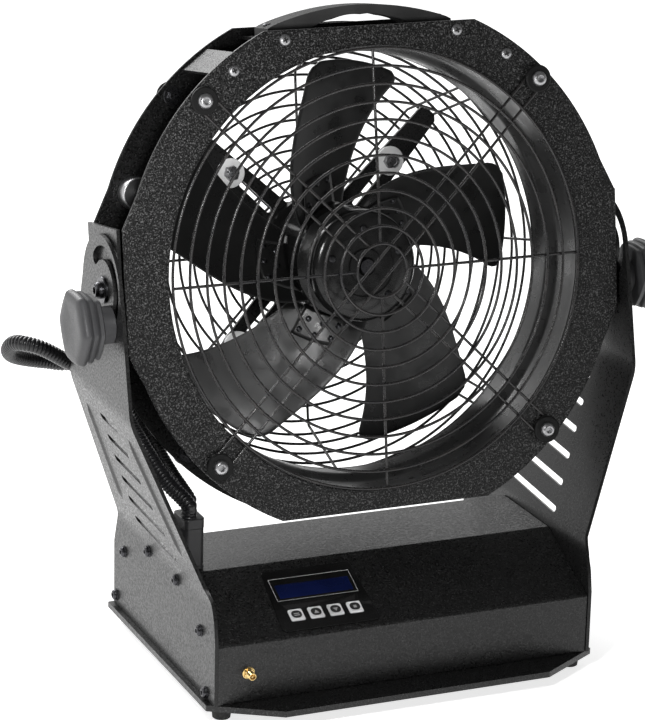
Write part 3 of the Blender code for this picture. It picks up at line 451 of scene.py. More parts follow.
def as_object(name, shape, sharp=35.0):
    """A bmesh as a smooth-shaded object with sharp edges above an angle."""
    mesh = bpy.data.meshes.new(name)
    bmesh.ops.recalc_face_normals(shape, faces=shape.faces)
    shape.to_mesh(mesh)
    shape.free()
    mesh.shade_smooth()
    mesh.set_sharp_from_angle(angle=radians(sharp))
    return bpy.data.objects.new(name, mesh)


def soften(item, width, segments=2, angle=32.0):
    """Rounded edges, as pressed or moulded pieces have."""
    tool = item.modifiers.new("soft_edges", "BEVEL")
    tool.width = width
    tool.segments = segments
    tool.limit_method = "ANGLE"
    tool.angle_limit = radians(angle)
    tool.harden_normals = False
    return item


def thicken(item, thickness):
    """A sheet's thickness, half to each side."""
    tool = item.modifiers.new("sheet", "SOLIDIFY")
    tool.thickness = thickness
    tool.offset = 0.0
    return item


def block(shape, low, high, matrix=None):
    """A box with its corners at low and high."""
    low, high = Vector(low), Vector(high)
    made = bmesh.ops.create_cube(shape, size=1.0)["verts"]
    for vert in made:
        spot = Vector(v * s for v, s in zip(vert.co, high - low)) + (low + high) / 2
        vert.co = matrix @ spot if matrix else spot
    return made


def skin(shape, rows, closed=True):
    """Faces between neighbouring rows of vertices; closed rows are rings."""
    for low, high in zip(rows, rows[1:]):
        for i in range(len(low) if closed else len(low) - 1):
            j = (i + 1) % len(low)
            shape.faces.new((low[i], low[j], high[j], high[i]))


def ring_at(shape, outline, z, matrix):
    """Vertices along an outline at a height."""
    return [shape.verts.new(matrix @ Vector((x, y, z))) for x, y in outline]


def tube(shape, rings):
    """Rings joined by faces, with both ends closed."""
    skin(shape, rings)
    shape.faces.new(rings[-1])
    shape.faces.new(list(reversed(rings[0])))


def prism(shape, outline, low, high, matrix):
    """An outline in the XY plane, extruded from low to high."""
    tube(shape, [ring_at(shape, outline, z, matrix) for z in (low, high)])


def lathe(shape, profile, matrix, sides=48, radius_at=None):
    """A profile of (radius, height) turned about Z; radius_at(angle, radius, height) may shape it.

    A profile that ends where it starts is a ring; one that starts and ends on the axis is solid.
    """
    loop = profile[0] == profile[-1]
    rows = profile[:-1] if loop else profile
    rings = []
    for radius, height in rows:
        if radius == 0.0:
            rings.append([shape.verts.new(matrix @ Vector((0, 0, height)))])
            continue
        ring = []
        for i in range(sides):
            angle = 2 * pi * i / sides
            r = radius_at(angle, radius, height) if radius_at else radius
            ring.append((r * cos(angle), r * sin(angle)))
        rings.append(ring_at(shape, ring, height, matrix))
    following = rings[1:] + rings[:1] if loop else rings[1:]
    for low, high in zip(rings, following):
        if len(low) == len(high) > 1:
            skin(shape, (low, high))
            continue
        for i in range(sides if len(low) != len(high) else 0):
            j = (i + 1) % sides
            if len(low) == 1:
                shape.faces.new((low[0], high[j], high[i]))
            else:
                shape.faces.new((low[i], low[j], high[0]))


def in_mm(*pairs):
    """Pairs given in millimetres, in metres."""
    return [(a * MM, b * MM) for a, b in pairs]


def circle(radius, x=0.0, y=0.0, sides=32, start=0.0):
    steps = [start + 2 * pi * i / sides for i in range(sides)]
    return [(x + radius * cos(a), y + radius * sin(a)) for a in steps]


def arc(radius, first, last, steps, x=0.0, y=0.0):
    """Points on an arc, angles in degrees."""
    turns = [radians(first + (last - first) * i / steps) for i in range(steps + 1)]
    return [(x + radius * cos(a), y + radius * sin(a)) for a in turns]


def rectangle(x, y, width, height, corner=0.0, steps=4):
    """A rectangle about a centre, with round corners if a corner radius is given."""
    half_x, half_y = width / 2 - corner, height / 2 - corner
    loop = []
    for turn, sx, sy in ((0, 1, 1), (90, -1, 1), (180, -1, -1), (270, 1, -1)):
        if corner:
            loop += arc(corner, turn, turn + 90, steps, x + sx * half_x, y + sy * half_y)
        else:
            loop.append((x + sx * half_x, y + sy * half_y))
    return loop


def slot_outline(start, end, half, steps=8):
    """A slot with round ends, from start to end."""
    angle = atan2(end[1] - start[1], end[0] - start[0]) * 180 / pi
    return (arc(half, angle + 90, angle + 270, steps, *start)
            + arc(half, angle - 90, angle + 90, steps, *end))


def filled(outline, holes, thickness):
    """A bmesh of an outline with holes, centred on the XY plane and extruded."""
    curve = bpy.data.curves.new("outline", "CURVE")
    curve.dimensions = "2D"
    curve.fill_mode = "BOTH"
    curve.extrude = thickness / 2
    for loop in [outline] + list(holes):
        spline = curve.splines.new("POLY")
        spline.points.add(len(loop) - 1)
        for point, (x, y) in zip(spline.points, loop):
            point.co = (x, y, 0.0, 1.0)
        spline.use_cyclic_u = True
    drawn = bpy.data.objects.new("outline", curve)
    link(drawn)
    graph = bpy.context.evaluated_depsgraph_get()
    mesh = bpy.data.meshes.new_from_object(drawn.evaluated_get(graph))
    bpy.data.objects.remove(drawn, do_unlink=True)
    # The curve's own UV map differs from run to run, and no look uses it
    for layer in list(mesh.uv_layers):
        mesh.uv_layers.remove(layer)
    shape = bmesh.new()
    shape.from_mesh(mesh)
    bpy.data.meshes.remove(mesh)
    bmesh.ops.remove_doubles(shape, verts=shape.verts, dist=0.00001)
    return shape


def moved(shape, matrix):
    bmesh.ops.transform(shape, verts=shape.verts, matrix=matrix)
    return shape


def wires(name, paths, radius):
    """Round wires along paths of points; a path marked closed is a ring."""
    curve = bpy.data.curves.new(name, "CURVE")
    curve.dimensions = "3D"
    curve.bevel_depth = radius
    curve.bevel_resolution = 3
    curve.use_fill_caps = True
    for points, closed in paths:
        spline = curve.splines.new("POLY")
        spline.points.add(len(points) - 1)
        for point, spot in zip(spline.points, points):
            point.co = (*spot, 1.0)
        spline.use_cyclic_u = closed
        spline.use_smooth = True
    return bpy.data.objects.new(name, curve)


def to_flat(angle):
    """Cosine of the angle to the middle of a hexagon's nearest flat."""
    sixth = (angle + pi / 6) % (pi / 3) - pi / 6
    return cos(pi / 6 - abs(sixth))


def hex_socket(shape, matrix, head_r, head_high, socket_r, washer_r=0.0, washer_high=0.0):
    """A button-head screw with a hexagon socket, on a washer if one is given."""
    base = washer_high
    if washer_r:
        lathe(shape, [(0, 0), (washer_r, 0), (washer_r, washer_high * 0.7),
                      (washer_r * 0.95, washer_high), (0, washer_high)], matrix, 40)
    top = base + head_high
    profile = [(0, base - 0.1 * MM), (head_r, base - 0.1 * MM), (head_r, base + head_high * 0.25),
               (head_r * 0.92, base + head_high * 0.6), (head_r * 0.74, base + head_high * 0.9),
               (head_r * 0.6, top), (socket_r * 1.12, top)]
    lathe(shape, profile, matrix, 36)
    hexagon = circle(socket_r, sides=6)
    ring = ring_at(shape, circle(socket_r * 1.12, sides=36), top, matrix)
    mouth = ring_at(shape, hexagon, top - 0.2 * MM, matrix)
    floor = ring_at(shape, hexagon, top - head_high * 0.65, matrix)
    per_side = len(ring) // 6
    for i in range(6):
        j = (i + 1) % 6
        start = i * per_side
        arc_points = [ring[(start + k) % len(ring)] for k in range(per_side + 1)]
        shape.faces.new([mouth[i]] + arc_points + [mouth[j]])
        shape.faces.new((mouth[i], mouth[j], floor[j], floor[i]))
    shape.faces.new(floor)


def cross_screw(heads, recess_shades, matrix, radius, high):
    """A pan-head screw, and a near-black cross set in its head as painted shade for the cross recess.
    """
    lathe(heads, [(0, 0), (radius, 0), (radius, high * 0.4), (radius * 0.86, high * 0.8),
                  (radius * 0.6, high), (0, high)], matrix, 32)
    reach, half = radius * 0.5, radius * 0.15
    outline = [(reach, -half), (reach, half), (half, half), (half, reach), (-half, reach),
               (-half, half), (-reach, half), (-reach, -half), (-half, -half), (-half, -reach),
               (half, -reach), (half, -half)]
    spin = matrix @ Matrix.Rotation(0.4, 4, "Z")
    prism(recess_shades, outline, high * 0.5, high + 0.06 * MM, spin)


def cross_screws(name, seats, radius, high, body):
    """Pan-head screws at each seat, and near-black crosses in their heads as painted shade for the
    recesses.
    """
    heads, recess_shades = bmesh.new(), bmesh.new()
    for seat in seats:
        cross_screw(heads, recess_shades, seat, radius, high)
    dress(as_object(name + "s", heads), "zinc_steel", body, look=BLACK_SCREW)
    dress(as_object(name + "_marks", recess_shades), "black_plastic", body, look=RECESS_SHADE)


def hex_nut(shape, matrix, radius, high, washer_r=0.0, washer_high=0.0, turn=0.0):
    """A chamfered hexagon nut or head, on a washer if one is given."""
    if washer_r:
        lathe(shape, [(0, 0), (washer_r, 0), (washer_r, washer_high * 0.7),
                      (washer_r * 0.96, washer_high), (0, washer_high)], matrix, 40)
    spin = matrix @ Matrix.Rotation(turn, 4, "Z")
    top = washer_high + high
    rows = [(0, washer_high), (radius, washer_high), (radius, top - 0.9 * MM),
            (radius * 0.93, top - 0.3 * MM), (radius * 0.84, top), (0, top)]
    lathe(shape, rows, spin, 48, lambda a, r, h: min(r, radius * cos(pi / 6) / to_flat(a)))


# ---------------------------------------------------------------- head

def head_outline():
    """Flat top and bottom, round shoulders, and an ear at each side."""
    ear_root_u = (OUTLINE_R ** 2 - EAR_ROOT_V ** 2) ** 0.5
    top_u = (OUTLINE_R ** 2 - TOP_V ** 2) ** 0.5
    first = atan2(EAR_ROOT_V, ear_root_u) * 180 / pi
    last = atan2(TOP_V, top_u) * 180 / pi
    right = [(EAR_U, EAR_V)] + arc(OUTLINE_R, first, last, 24)
    upper = right + [(-u, v) for u, v in reversed(right)]
    return upper + [(-u, -v) for u, v in upper]


def divided(loop, longest):
    """A closed outline with its long sides split into equal parts."""
    points = []
    for a, b in zip(loop, loop[1:] + loop[:1]):
        parts = max(1, int(hypot(b[0] - a[0], b[1] - a[1]) / longest))
        for i in range(parts):
            points.append((a[0] + (b[0] - a[0]) * i / parts, a[1] + (b[1] - a[1]) * i / parts))
    return points


def make_head_plates():
    outline = divided(head_outline(), 9 * MM)
    for name, w, opening in (("front_plate", 0.0, OPENING_R),
                             ("rear_plate", HEAD_DEPTH - SHEET, THROAT_R)):
        shape = bmesh.new()
        mouth = [(u / hypot(u, v) * opening, v / hypot(u, v) * opening) for u, v in outline]
        rings = []
        for loop, depth in ((outline, w), (mouth, w), (mouth, w + SHEET), (outline, w + SHEET)):
            rings.append(ring_at(shape, loop, depth, HEAD))
        skin(shape, rings + rings[:1])
        plate = as_object(name + "_fine", shape)
        soften(plate, 0.7 * MM, 3)
        # The rear plate takes the darker coat as painted shade
        dress(plate, "black_textured_coat", "head", [name], SHADED_REAR_COAT if "rear" in name else None)


def make_plate_screws():
    heads, recess_shades = bmesh.new(), bmesh.new()
    for u, v in ((74.5, 188.0), (118.3, 166.6)):
        for side in (-1, 1):
            spot = head_point(side * u * MM, v * MM, 0)
            cross_screw(heads, recess_shades, looking(spot, -HEAD_BACK), 4.6 * MM, 2.4 * MM)
    for side in (-1, 1):
        for v in (-44.0, 44.0):
            spot = head_point(side * 207.0 * MM, v * MM, HEAD_DEPTH)
            cross_screw(heads, recess_shades, looking(spot, HEAD_BACK), 4.0 * MM, 2.2 * MM)
    dress(as_object("plate_screws", heads), "zinc_steel", "head")
    # Near-black crosses as painted shade in the screw recesses
    dress(as_object("plate_screw_marks", recess_shades), "black_plastic", "head", look=RECESS_SHADE)


def make_duct():
    """A spun ring: a rolled lip, a straight mouth and an S-curve to the throat."""
    front, rear, wall = SHEET + 0.3 * MM, HEAD_DEPTH - SHEET - 0.3 * MM, 1.5 * MM
    curve_start, curve_end = rear - 34 * MM, rear - 20 * MM
    inner = [(OPENING_R - 0.4 * MM, front)]
    steps = 10
    for i in range(steps + 1):
        share = i / steps
        blend = share * share * (3 - 2 * share)
        inner.append((OPENING_R + (THROAT_R - OPENING_R) * blend,
                      curve_start + (curve_end - curve_start) * share))
    inner.append((THROAT_R, rear))
    outer = [(radius + wall, w) for radius, w in reversed(inner)]
    shape = bmesh.new()
    lathe(shape, inner + outer + inner[:1], HEAD, 180)
    dress(as_object("duct_skin", shape), "black_textured_coat", "head", ["duct_ring"], DUCT_PAINT)


def ring_path(radius, w, sides):
    return [head_point(u, v, w) for u, v in circle(radius, sides=sides)]


def bolt_loop(turn, w):
    """The half ring of wire round a guard bolt that joins a diagonal's two wires."""
    along, across = axes_at(turn)
    points = []
    for i in range(1, 12):
        a = pi / 2 - pi * i / 12
        spot = along * (GUARD_BOLT_R + ARM_HALF * cos(a)) + across * ARM_HALF * sin(a)
        points.append(head_point(spot.x, spot.y, w))
    return points


def front_guard_w(radius):
    """The front guard's rings bulge slightly towards the front at the middle."""
    return -(3.5 + 2.2 * max(0.0, 1 - (radius / OPENING_R) ** 2)) * MM


def front_wire(radius):
    """Radius and W of the wires behind the front rings."""
    return radius, front_guard_w(radius) + 2 * WIRE_R


def strand(turn, inner, outer, steps, place, offset=0.0):
    """A wire running out at an angle, shifted sideways; place gives its radius and W at a run."""
    along, across = axes_at(turn)
    points = []
    for i in range(steps + 1):
        radius, w = place(inner + (outer - inner) * i / steps)
        spot = along * radius + across * offset
        points.append(head_point(spot.x, spot.y, w))
    return points


def diagonal(turn, inner, outer, steps, place):
    """Two wires side by side, joined by a half ring round a guard bolt."""
    there, back = (strand(turn, inner, outer, steps, place, way * ARM_HALF) for way in (1, -1))
    return there + bolt_loop(turn, place(outer)[1]) + back[::-1]


def make_front_guard():
    paths = []
    for number in range(FRONT_RINGS):
        radius = FRONT_RING_R + FRONT_RING_PITCH * number
        paths.append((ring_path(radius, front_guard_w(radius), 128), True))
    last = FRONT_RING_R + FRONT_RING_PITCH * (FRONT_RINGS - 1)
    for number, turn in enumerate(DIAGONALS):
        crossing = number % 2 == 0
        inner = 0.0 if crossing else (FRONT_RING_R ** 2 - ARM_HALF ** 2) ** 0.5
        paths.append((diagonal(turn, inner, GUARD_BOLT_R, 12, front_wire), False))
        paths.append((strand(radians(90 * number), FRONT_RING_R, last, 12, front_wire), False))
    dress(wires("front_guard_wires", paths, WIRE_R), "guard_black", "head", ["front_guard"])


def basket_profile(run):
    """Radius and W of the rear basket at a run out from the fan's axis."""
    side = Vector((BASKET_MOUTH_R - BASKET_R, BASKET_MOUTH_W - BASKET_W))
    if run <= BASKET_R:
        return run, BASKET_W
    if run <= BASKET_R + side.length:
        spot = Vector((BASKET_R, BASKET_W)) + side.normalized() * (run - BASKET_R)
        return spot.x, spot.y
    return BASKET_MOUTH_R + run - BASKET_R - side.length, BASKET_MOUTH_W


def make_rear_guard():
    side = hypot(BASKET_MOUTH_R - BASKET_R, BASKET_MOUTH_W - BASKET_W)
    runs = [REAR_RING_R + REAR_RING_PITCH * k for k in range(REAR_FLAT_RINGS)]
    runs += [BASKET_R + side * (k + 0.7) / REAR_SIDE_RINGS for k in range(REAR_SIDE_RINGS)]
    paths = []
    for run in runs:
        radius, w = basket_profile(run)
        outward = 2 * WIRE_R
        if run > BASKET_R:
            radius += outward * (BASKET_W - BASKET_MOUTH_W) / side
            w += outward * (BASKET_MOUTH_R - BASKET_R) / side
        else:
            w += outward * 0.7
        paths.append((ring_path(radius, w, 128), True))
    reach = BASKET_R + side + GUARD_BOLT_R - BASKET_MOUTH_R
    for number, turn in enumerate(DIAGONALS):
        paths.append((diagonal(turn, REAR_RING_R, reach, 40, basket_profile), False))
        paths.append((strand(radians(90 * number), REAR_RING_R, BASKET_R + side, 40, basket_profile),
                      False))
    dress(wires("rear_guard_wires", paths, WIRE_R), "guard_black", "head", ["rear_guard"])


def make_guard_bolts():
    heads, washers, rear = bmesh.new(), bmesh.new(), bmesh.new()
    for u, v in circle(GUARD_BOLT_R, sides=4, start=DIAGONALS[0]):
        front = looking(head_point(u, v, -3.0 * MM), -HEAD_BACK)
        lathe(washers, in_mm((4, 0), (11.2, 0), (11.2, 1.5), (10.2, 2.4), (4, 2.4), (4, 0)),
              front, 40)
        seat = looking(head_point(u, v, -5.2 * MM), -HEAD_BACK)
        hex_socket(heads, seat, 6.2 * MM, 3.8 * MM, 2.6 * MM)
        lathe(washers, in_mm((0, 0), (4.6, 0), (4.6, 3), (0, 3)),
              looking(head_point(u, v, 0), -HEAD_BACK), 20)
        inside = looking(head_point(u, v, HEAD_DEPTH - SHEET), -HEAD_BACK)
        hex_nut(rear, inside, 4.6 * MM, 4 * MM, 8 * MM, 1.4 * MM, 0.3)
        back = looking(head_point(u, v, BASKET_MOUTH_W + WIRE_R), HEAD_BACK)
        lathe(washers, in_mm((0, -3), (4.6, -3), (4.6, 0), (11.2, 0), (11.2, 1.6), (9, 4), (6.2, 6.8),
                             (3, 8.6), (0, 9)), back, 36)
    dress(as_object("guard_bolt_heads", heads), "zinc_steel", "head",
          ["guard_bolt_%d" % number for number in range(1, 5)])
    dress(as_object("guard_bolt_washers", washers), "black_plastic", "head", look=WASHER_BLACK)
    dress(as_object("guard_bolt_nuts", rear), "zinc_steel", "head", look=BLACK_SCREW)


def make_handle():
    """A strap handle arched clear of the top tie plate, scalloped for the fingers."""
    base, crest, half = 189.3 * MM, 211.5 * MM, 80 * MM
    steps = 48
    over, under = [], []
    for i in range(steps + 1):
        share = i / steps
        bow = sin(pi * share)
        over.append((-half + 2 * half * share, base + 7 * MM + (crest - base - 7 * MM) * bow ** 0.8))
    reach = 50 * MM
    for i in range(steps + 1):
        share = i / steps
        bow = sin(pi * share)
        scallop = 0.9 * MM * abs(sin(4 * pi * share)) * bow
        under.append((reach - 2 * reach * share,
                      base + (crest - base - 8 * MM) * bow ** 0.6 + scallop))
    shape = filled([(-half, base)] + over + [(half, base)] + under, [], 28 * MM)
    moved(shape, HEAD @ Matrix.Translation((0, 0, HEAD_DEPTH / 2)))
    handle = as_object("handle_grip", shape)
    soften(handle, 3.2 * MM, 4)
    dress(handle, "black_plastic", "head", ["carry_handle"], GRIP)
    upwards = HEAD.to_3x3() @ Vector((0, 1, 0))
    seats = [looking(head_point(side * 74 * MM, base + 9 * MM, HEAD_DEPTH / 2), upwards)
             for side in (-1, 1)]
    cross_screws("handle_screw", seats, 4.2 * MM, 1.6 * MM, "head")


# ---------------------------------------------------------------- motor and impeller

def make_motor():
    front, rear = ROTOR_FRONT_W, ROTOR_REAR_W
    shape = bmesh.new()
    profile = [(6.3 * MM, front + 2 * MM), (8 * MM, front), (14 * MM, front),
               (15 * MM, front + 1.6 * MM), (24 * MM, front + 1.6 * MM), (25 * MM, front + 0.3 * MM),
               (38 * MM, front + 0.3 * MM), (42.5 * MM, front + 1.6 * MM),
               (45 * MM, front + 4.2 * MM), (HUB_R, front + 8 * MM)]
    ribs = 9
    for number in range(ribs):
        w = front + 12 * MM + number * 2.6 * MM
        profile += [(HUB_R, w), (HUB_R - 1.2 * MM, w + 0.5 * MM), (HUB_R - 1.2 * MM, w + 1.6 * MM),
                    (HUB_R, w + 2.1 * MM)]
    profile += [(HUB_R, rear - 4 * MM), (HUB_R - 1 * MM, rear), (HUB_R - 3 * MM, rear),
                (HUB_R - 3 * MM, front + 6 * MM), (6.3 * MM, front + 6 * MM),
                (6.3 * MM, front + 2 * MM)]
    lathe(shape, profile, HEAD, 96)
    dress(as_object("rotor_can", shape), "motor_black", "fan", ["rotor_shell"])
    seats = [looking(head_point(u, v, front + 0.4 * MM), -HEAD_BACK)
             for u, v in circle(31 * MM, sides=BLADES, start=radians(20))]
    cross_screws("rotor_screw", seats, 3.2 * MM, 1.6 * MM, "fan")
    make_bracket()


def cross_outline(reach, half):
    """A four-armed cross with its arms on the diagonals."""
    loop = []
    inner = 48 * MM
    for turn in DIAGONALS:
        along, across = axes_at(turn)
        for run, side in ((inner, -half - 6 * MM), (reach - 4 * MM, -half), (reach, -half + 4 * MM),
                          (reach, half - 4 * MM), (reach - 4 * MM, half), (inner, half + 6 * MM)):
            spot = along * run + across * side
            loop.append((spot.x, spot.y))
    return loop


def make_bracket():
    slots = [slot_outline(axes_at(turn)[0] * 56 * MM, axes_at(turn)[0] * 88 * MM, 2.6 * MM)
             for turn in DIAGONALS]
    shape = filled(cross_outline(159.0 * MM, 9 * MM), [circle(24 * MM, sides=48)] + slots,
                   BRACKET_THICK)
    moved(shape, HEAD @ Matrix.Translation((0, 0, BRACKET_W + BRACKET_THICK / 2)))
    bracket = as_object("motor_bracket_arms", shape)
    soften(bracket, 0.6 * MM)
    dress(bracket, "black_textured_coat", "head", ["motor_bracket"], SMOOTH_COAT)
    nuts, washers = bmesh.new(), bmesh.new()
    for i, (u, v) in enumerate(circle(BRACKET_NUT * 2 ** 0.5, sides=4, start=DIAGONALS[0])):
        for w, way in ((BRACKET_W, -1), (BRACKET_W + BRACKET_THICK, 1)):
            seat = looking(head_point(u, v, w), HEAD_BACK * way)
            lathe(washers, in_mm((0, 0), (12.5, 0), (12.5, 1), (12, 1.5), (0, 1.5)), seat, 48)
            hex_nut(nuts, seat @ Matrix.Translation((0, 0, 1.5 * MM)), 6.6 * MM, 4.6 * MM,
                    turn=0.2 * i)
            lathe(nuts, in_mm((0, 6), (3.4, 6), (3.4, 8), (2.8, 8.6), (0, 8.6)), seat, 24)
    dress(as_object("bracket_washers", washers), "zinc_steel", "head", look=LIGHT_ZINC)
    dress(as_object("bracket_nuts", nuts), "zinc_steel", "head", look=DULL_ZINC)


def blade_point(radius, across, turn, lift=0.0):
    """A point on a blade: across is 0 at the front edge and 1 at the rear edge."""
    reach = (radius - 110 * MM) / (60 * MM)
    front_angle = 112.1 - 23.5 * reach + 8.6 * reach ** 2
    rear_angle = 70.9 - 7.9 * reach - 2.3 * reach ** 2
    front_w = (69.9 + 7.2 * reach) * MM
    rear_w = (107.3 + 9.3 * reach) * MM
    angle = radians(turn + front_angle + (rear_angle - front_angle) * across)
    camber = 3.2 * MM * sin(pi * across)
    w = front_w + (rear_w - front_w) * across + camber + lift
    return Vector((radius * cos(angle), radius * sin(angle), w))


def make_blades():
    """Pressed blades with round tip corners, each on a riveted root tab."""
    columns, rows = 28, 22
    corner = 13.0 * MM
    for number in range(BLADES):
        turn = -72 * number
        shape = bmesh.new()
        grid = []
        for i in range(columns + 1):
            share = (i / columns) ** 0.85
            radius = BLADE_ROOT_R + (TIP_R - BLADE_ROOT_R) * share
            into = max(0.0, (radius - TIP_R + corner) / corner)
            trim = 0.12 * (1 - (1 - into ** 2) ** 0.5)
            line = []
            for j in range(rows + 1):
                across = trim + (1 - 2 * trim) * j / rows
                line.append(shape.verts.new(HEAD @ blade_point(radius, across, turn)))
            grid.append(line)
        skin(shape, list(zip(*grid)), closed=False)
        blade = thicken(as_object("blade_%d" % (number + 1), shape), 1.8 * MM)
        soften(blade, 0.5 * MM, 2, 50.0)
        dress(blade, "blade_black", "fan", ["fan_blade_%d" % (number + 1)])
    make_blade_roots()


def make_blade_roots():
    """Curved tabs that rivet each blade to the hub."""
    tabs = bmesh.new()
    rivets = bmesh.new()
    for number in range(BLADES):
        turn = -72 * number
        grid = []
        for i in range(9):
            radius = HUB_R - 0.2 * MM + 26 * MM * (i / 8)
            line = []
            for j in range(13):
                narrow = 0.16 + 0.12 * i / 8
                across = narrow + (1 - 2 * narrow) * j / 12
                line.append(tabs.verts.new(HEAD @ blade_point(radius, across, turn, -1.7 * MM)))
            grid.append(line)
        skin(tabs, list(zip(*grid)), closed=False)
        for across in (0.32, 0.5, 0.68):
            for radius in (55 * MM, 66 * MM):
                spot = HEAD @ blade_point(radius, across, turn, -2.4 * MM)
                ahead = HEAD @ blade_point(radius, across + 0.05, turn, -2.4 * MM)
                out = HEAD @ blade_point(radius + 2 * MM, across, turn, -2.4 * MM)
                normal = (ahead - spot).cross(out - spot).normalized()
                if normal.dot(HEAD_BACK) > 0:
                    normal.negate()
                lathe(rivets, in_mm((0, 0), (2.6, 0), (2.4, 0.8), (1.4, 1.5), (0, 1.7)),
                      looking(spot, normal), 20)
    dress(thicken(as_object("blade_roots", tabs), 1.4 * MM), "blade_black", "fan")
    dress(as_object("blade_rivets", rivets), "zinc_steel", "fan", look=BLACK_SCREW)


# ---------------------------------------------------------------- yoke

LEAN = atan2(ARM_TOP_X - ARM_LOW_X, ARM_BEND_HIGH_Z - ARM_BEND_LOW_Z)
FLARE = hypot(ARM_TOP_X - ARM_LOW_X, ARM_BEND_HIGH_Z - ARM_BEND_LOW_Z)


def arm_centre(run):
    """X, Z and lean of the arm's inner face at a run along the blank, with round bends."""
    bends = (ARM_BEND_LOW_Z, ARM_BEND_LOW_Z + FLARE)
    bend_r = 2 * BEND_HALF / LEAN
    x, z, lean, done = ARM_LOW_X, 0.0, 0.0, 0.0
    for bend, way in zip(bends, (1, -1)):
        straight = min(run, bend - BEND_HALF) - done
        x += straight * sin(lean)
        z += straight * cos(lean)
        done += straight
        if run <= bend - BEND_HALF:
            return x, z, lean
        turned = way * min(run - done, 2 * BEND_HALF) / bend_r
        x += way * bend_r * (cos(lean) - cos(lean + turned))
        z += way * bend_r * (sin(lean + turned) - sin(lean))
        lean += turned
        done += abs(turned) * bend_r
        if run <= bend + BEND_HALF:
            return x, z, lean
    return x + (run - done) * sin(lean), z + (run - done) * cos(lean), lean


def arm_point(side, y, run, out):
    """A place on an arm: side -1 left or 1 right, and a distance out from the inner face."""
    x, z, lean = arm_centre(run)
    return Vector((side * (x + out * cos(lean)), y, z - out * sin(lean)))


def run_at(z):
    """Run along the blank for a height on the bent arm."""
    if z <= ARM_BEND_LOW_Z:
        return z
    rise = ARM_BEND_HIGH_Z - ARM_BEND_LOW_Z
    if z <= ARM_BEND_HIGH_Z:
        return ARM_BEND_LOW_Z + (z - ARM_BEND_LOW_Z) / rise * FLARE
    return z + FLARE - rise


def arm_outline():
    """The blank, Y against run, from the rear foot round by the top."""
    pivot = run_at(PIVOT_Z)
    front, rear = -107.0 * MM, 132.0 * MM
    loop = [(rear, ARM_FOOT_Z), (rear, 62 * MM), (122 * MM, ARM_BEND_LOW_Z)]
    loop += [(84 * MM, run_at(ARM_BEND_HIGH_Z)), (59 * MM, pivot - 28 * MM)]
    loop += arc(45 * MM, 8, 172, 36, 6 * MM, pivot - 3 * MM)
    loop += [(-45 * MM, pivot - 20 * MM), (-62 * MM, run_at(ARM_BEND_HIGH_Z)),
             (-89 * MM, run_at(ARM_BEND_LOW_Z + 10 * MM)), (-98 * MM, ARM_BEND_LOW_Z),
             (-104 * MM, 76 * MM), (front, 58 * MM), (front, ARM_FOOT_Z)]
    return loop


def arm_slots():
    """Six sloping slots in the flared part, longer towards the bottom."""
    slots = []
    for number in range(6):
        share = number / 5
        middle_y, middle_run = 12.9 * MM, run_at((211 - 104 * share) * MM)
        reach = (15 + 27.5 * share) * MM
        rise = reach * 0.065
        slots.append(slot_outline((middle_y + reach, middle_run + rise),
                                  (middle_y - reach, middle_run - rise), 2.9 * MM))
    return slots


def clamp_slot():
    """The arc slot that the clamp stud runs in, round the pivot."""
    low_tilt, high_tilt = JOINTS["head_tilt"]["range_deg"]
    first, last = STUD_ANGLE - high_tilt, STUD_ANGLE - low_tilt
    end_a = (SLOT_RADIUS * cos(radians(first)), SLOT_RADIUS * sin(radians(first)))
    end_b = (SLOT_RADIUS * cos(radians(last)), SLOT_RADIUS * sin(radians(last)))
    loop = (arc(SLOT_RADIUS + SLOT_HALF, first, last, 64)
            + arc(SLOT_HALF, last, last + 180, 10, *end_b)[1:-1]
            + arc(SLOT_RADIUS - SLOT_HALF, last, first, 64)
            + arc(SLOT_HALF, first + 180, first + 360, 10, *end_a)[1:-1])
    return [(y, run_at(PIVOT_Z) + z) for y, z in loop]


def arm_rib(shape, side, start, end):
    """A soft pressed rib on the arm's outer face, from start to end in Y and Z."""
    width, high, steps, around = 6.5 * MM, 1.8 * MM, 40, 12
    grid = []
    begin = Vector((start[0], run_at(start[1])))
    finish = Vector((end[0], run_at(end[1])))
    along = (finish - begin).normalized()
    across = Vector((-along.y, along.x))
    length = (finish - begin).length
    for i in range(steps + 1):
        distance = length * i / steps
        fade = min(1.0, distance / (2 * width), (length - distance) / (2 * width))
        fade = max(0.02, fade * (2 - fade))
        line = []
        for j in range(around + 1):
            share = 1 - 2 * j / around
            spot = begin + along * distance + across * width * fade * share
            swell = high * fade * (0.5 + 0.5 * cos(pi * share))
            line.append(shape.verts.new(arm_point(side, spot.x, spot.y,
                                                  ARM_THICK - 0.05 * MM + swell)))
        grid.append(line)
    skin(shape, grid, closed=False)


def make_arms():
    holes = arm_slots() + [clamp_slot(), circle(5.3 * MM, 0, run_at(PIVOT_Z), 32)]
    for name, side in (("left_arm", -1), ("right_arm", 1)):
        shape = filled(arm_outline(), holes, ARM_THICK)
        for bend in (ARM_BEND_LOW_Z, ARM_BEND_LOW_Z + FLARE):
            for step in range(7):
                run = bend + BEND_HALF * (step - 3) / 3
                everything = shape.verts[:] + shape.edges[:] + shape.faces[:]
                bmesh.ops.bisect_plane(shape, geom=everything, plane_co=(0, run, 0),
                                       plane_no=(0, 1, 0), dist=1e-7)
        for vert in shape.verts:
            y, run, through = vert.co
            vert.co = arm_point(side, y, run, through + ARM_THICK / 2)
        bmesh.ops.recalc_face_normals(shape, faces=shape.faces)
        arm_rib(shape, side, (66.2 * MM, 211.3 * MM), (81 * MM, 118.2 * MM))
        arm_rib(shape, side, (-34.9 * MM, 212.1 * MM), (-59.6 * MM, 117.8 * MM))
        arm = as_object(name + "_sheet", shape)
        soften(arm, 0.5 * MM, 2, 60.0)
        dress(arm, "black_textured_coat", "root", [name], SMOOTH_COAT)
    make_arm_screws()


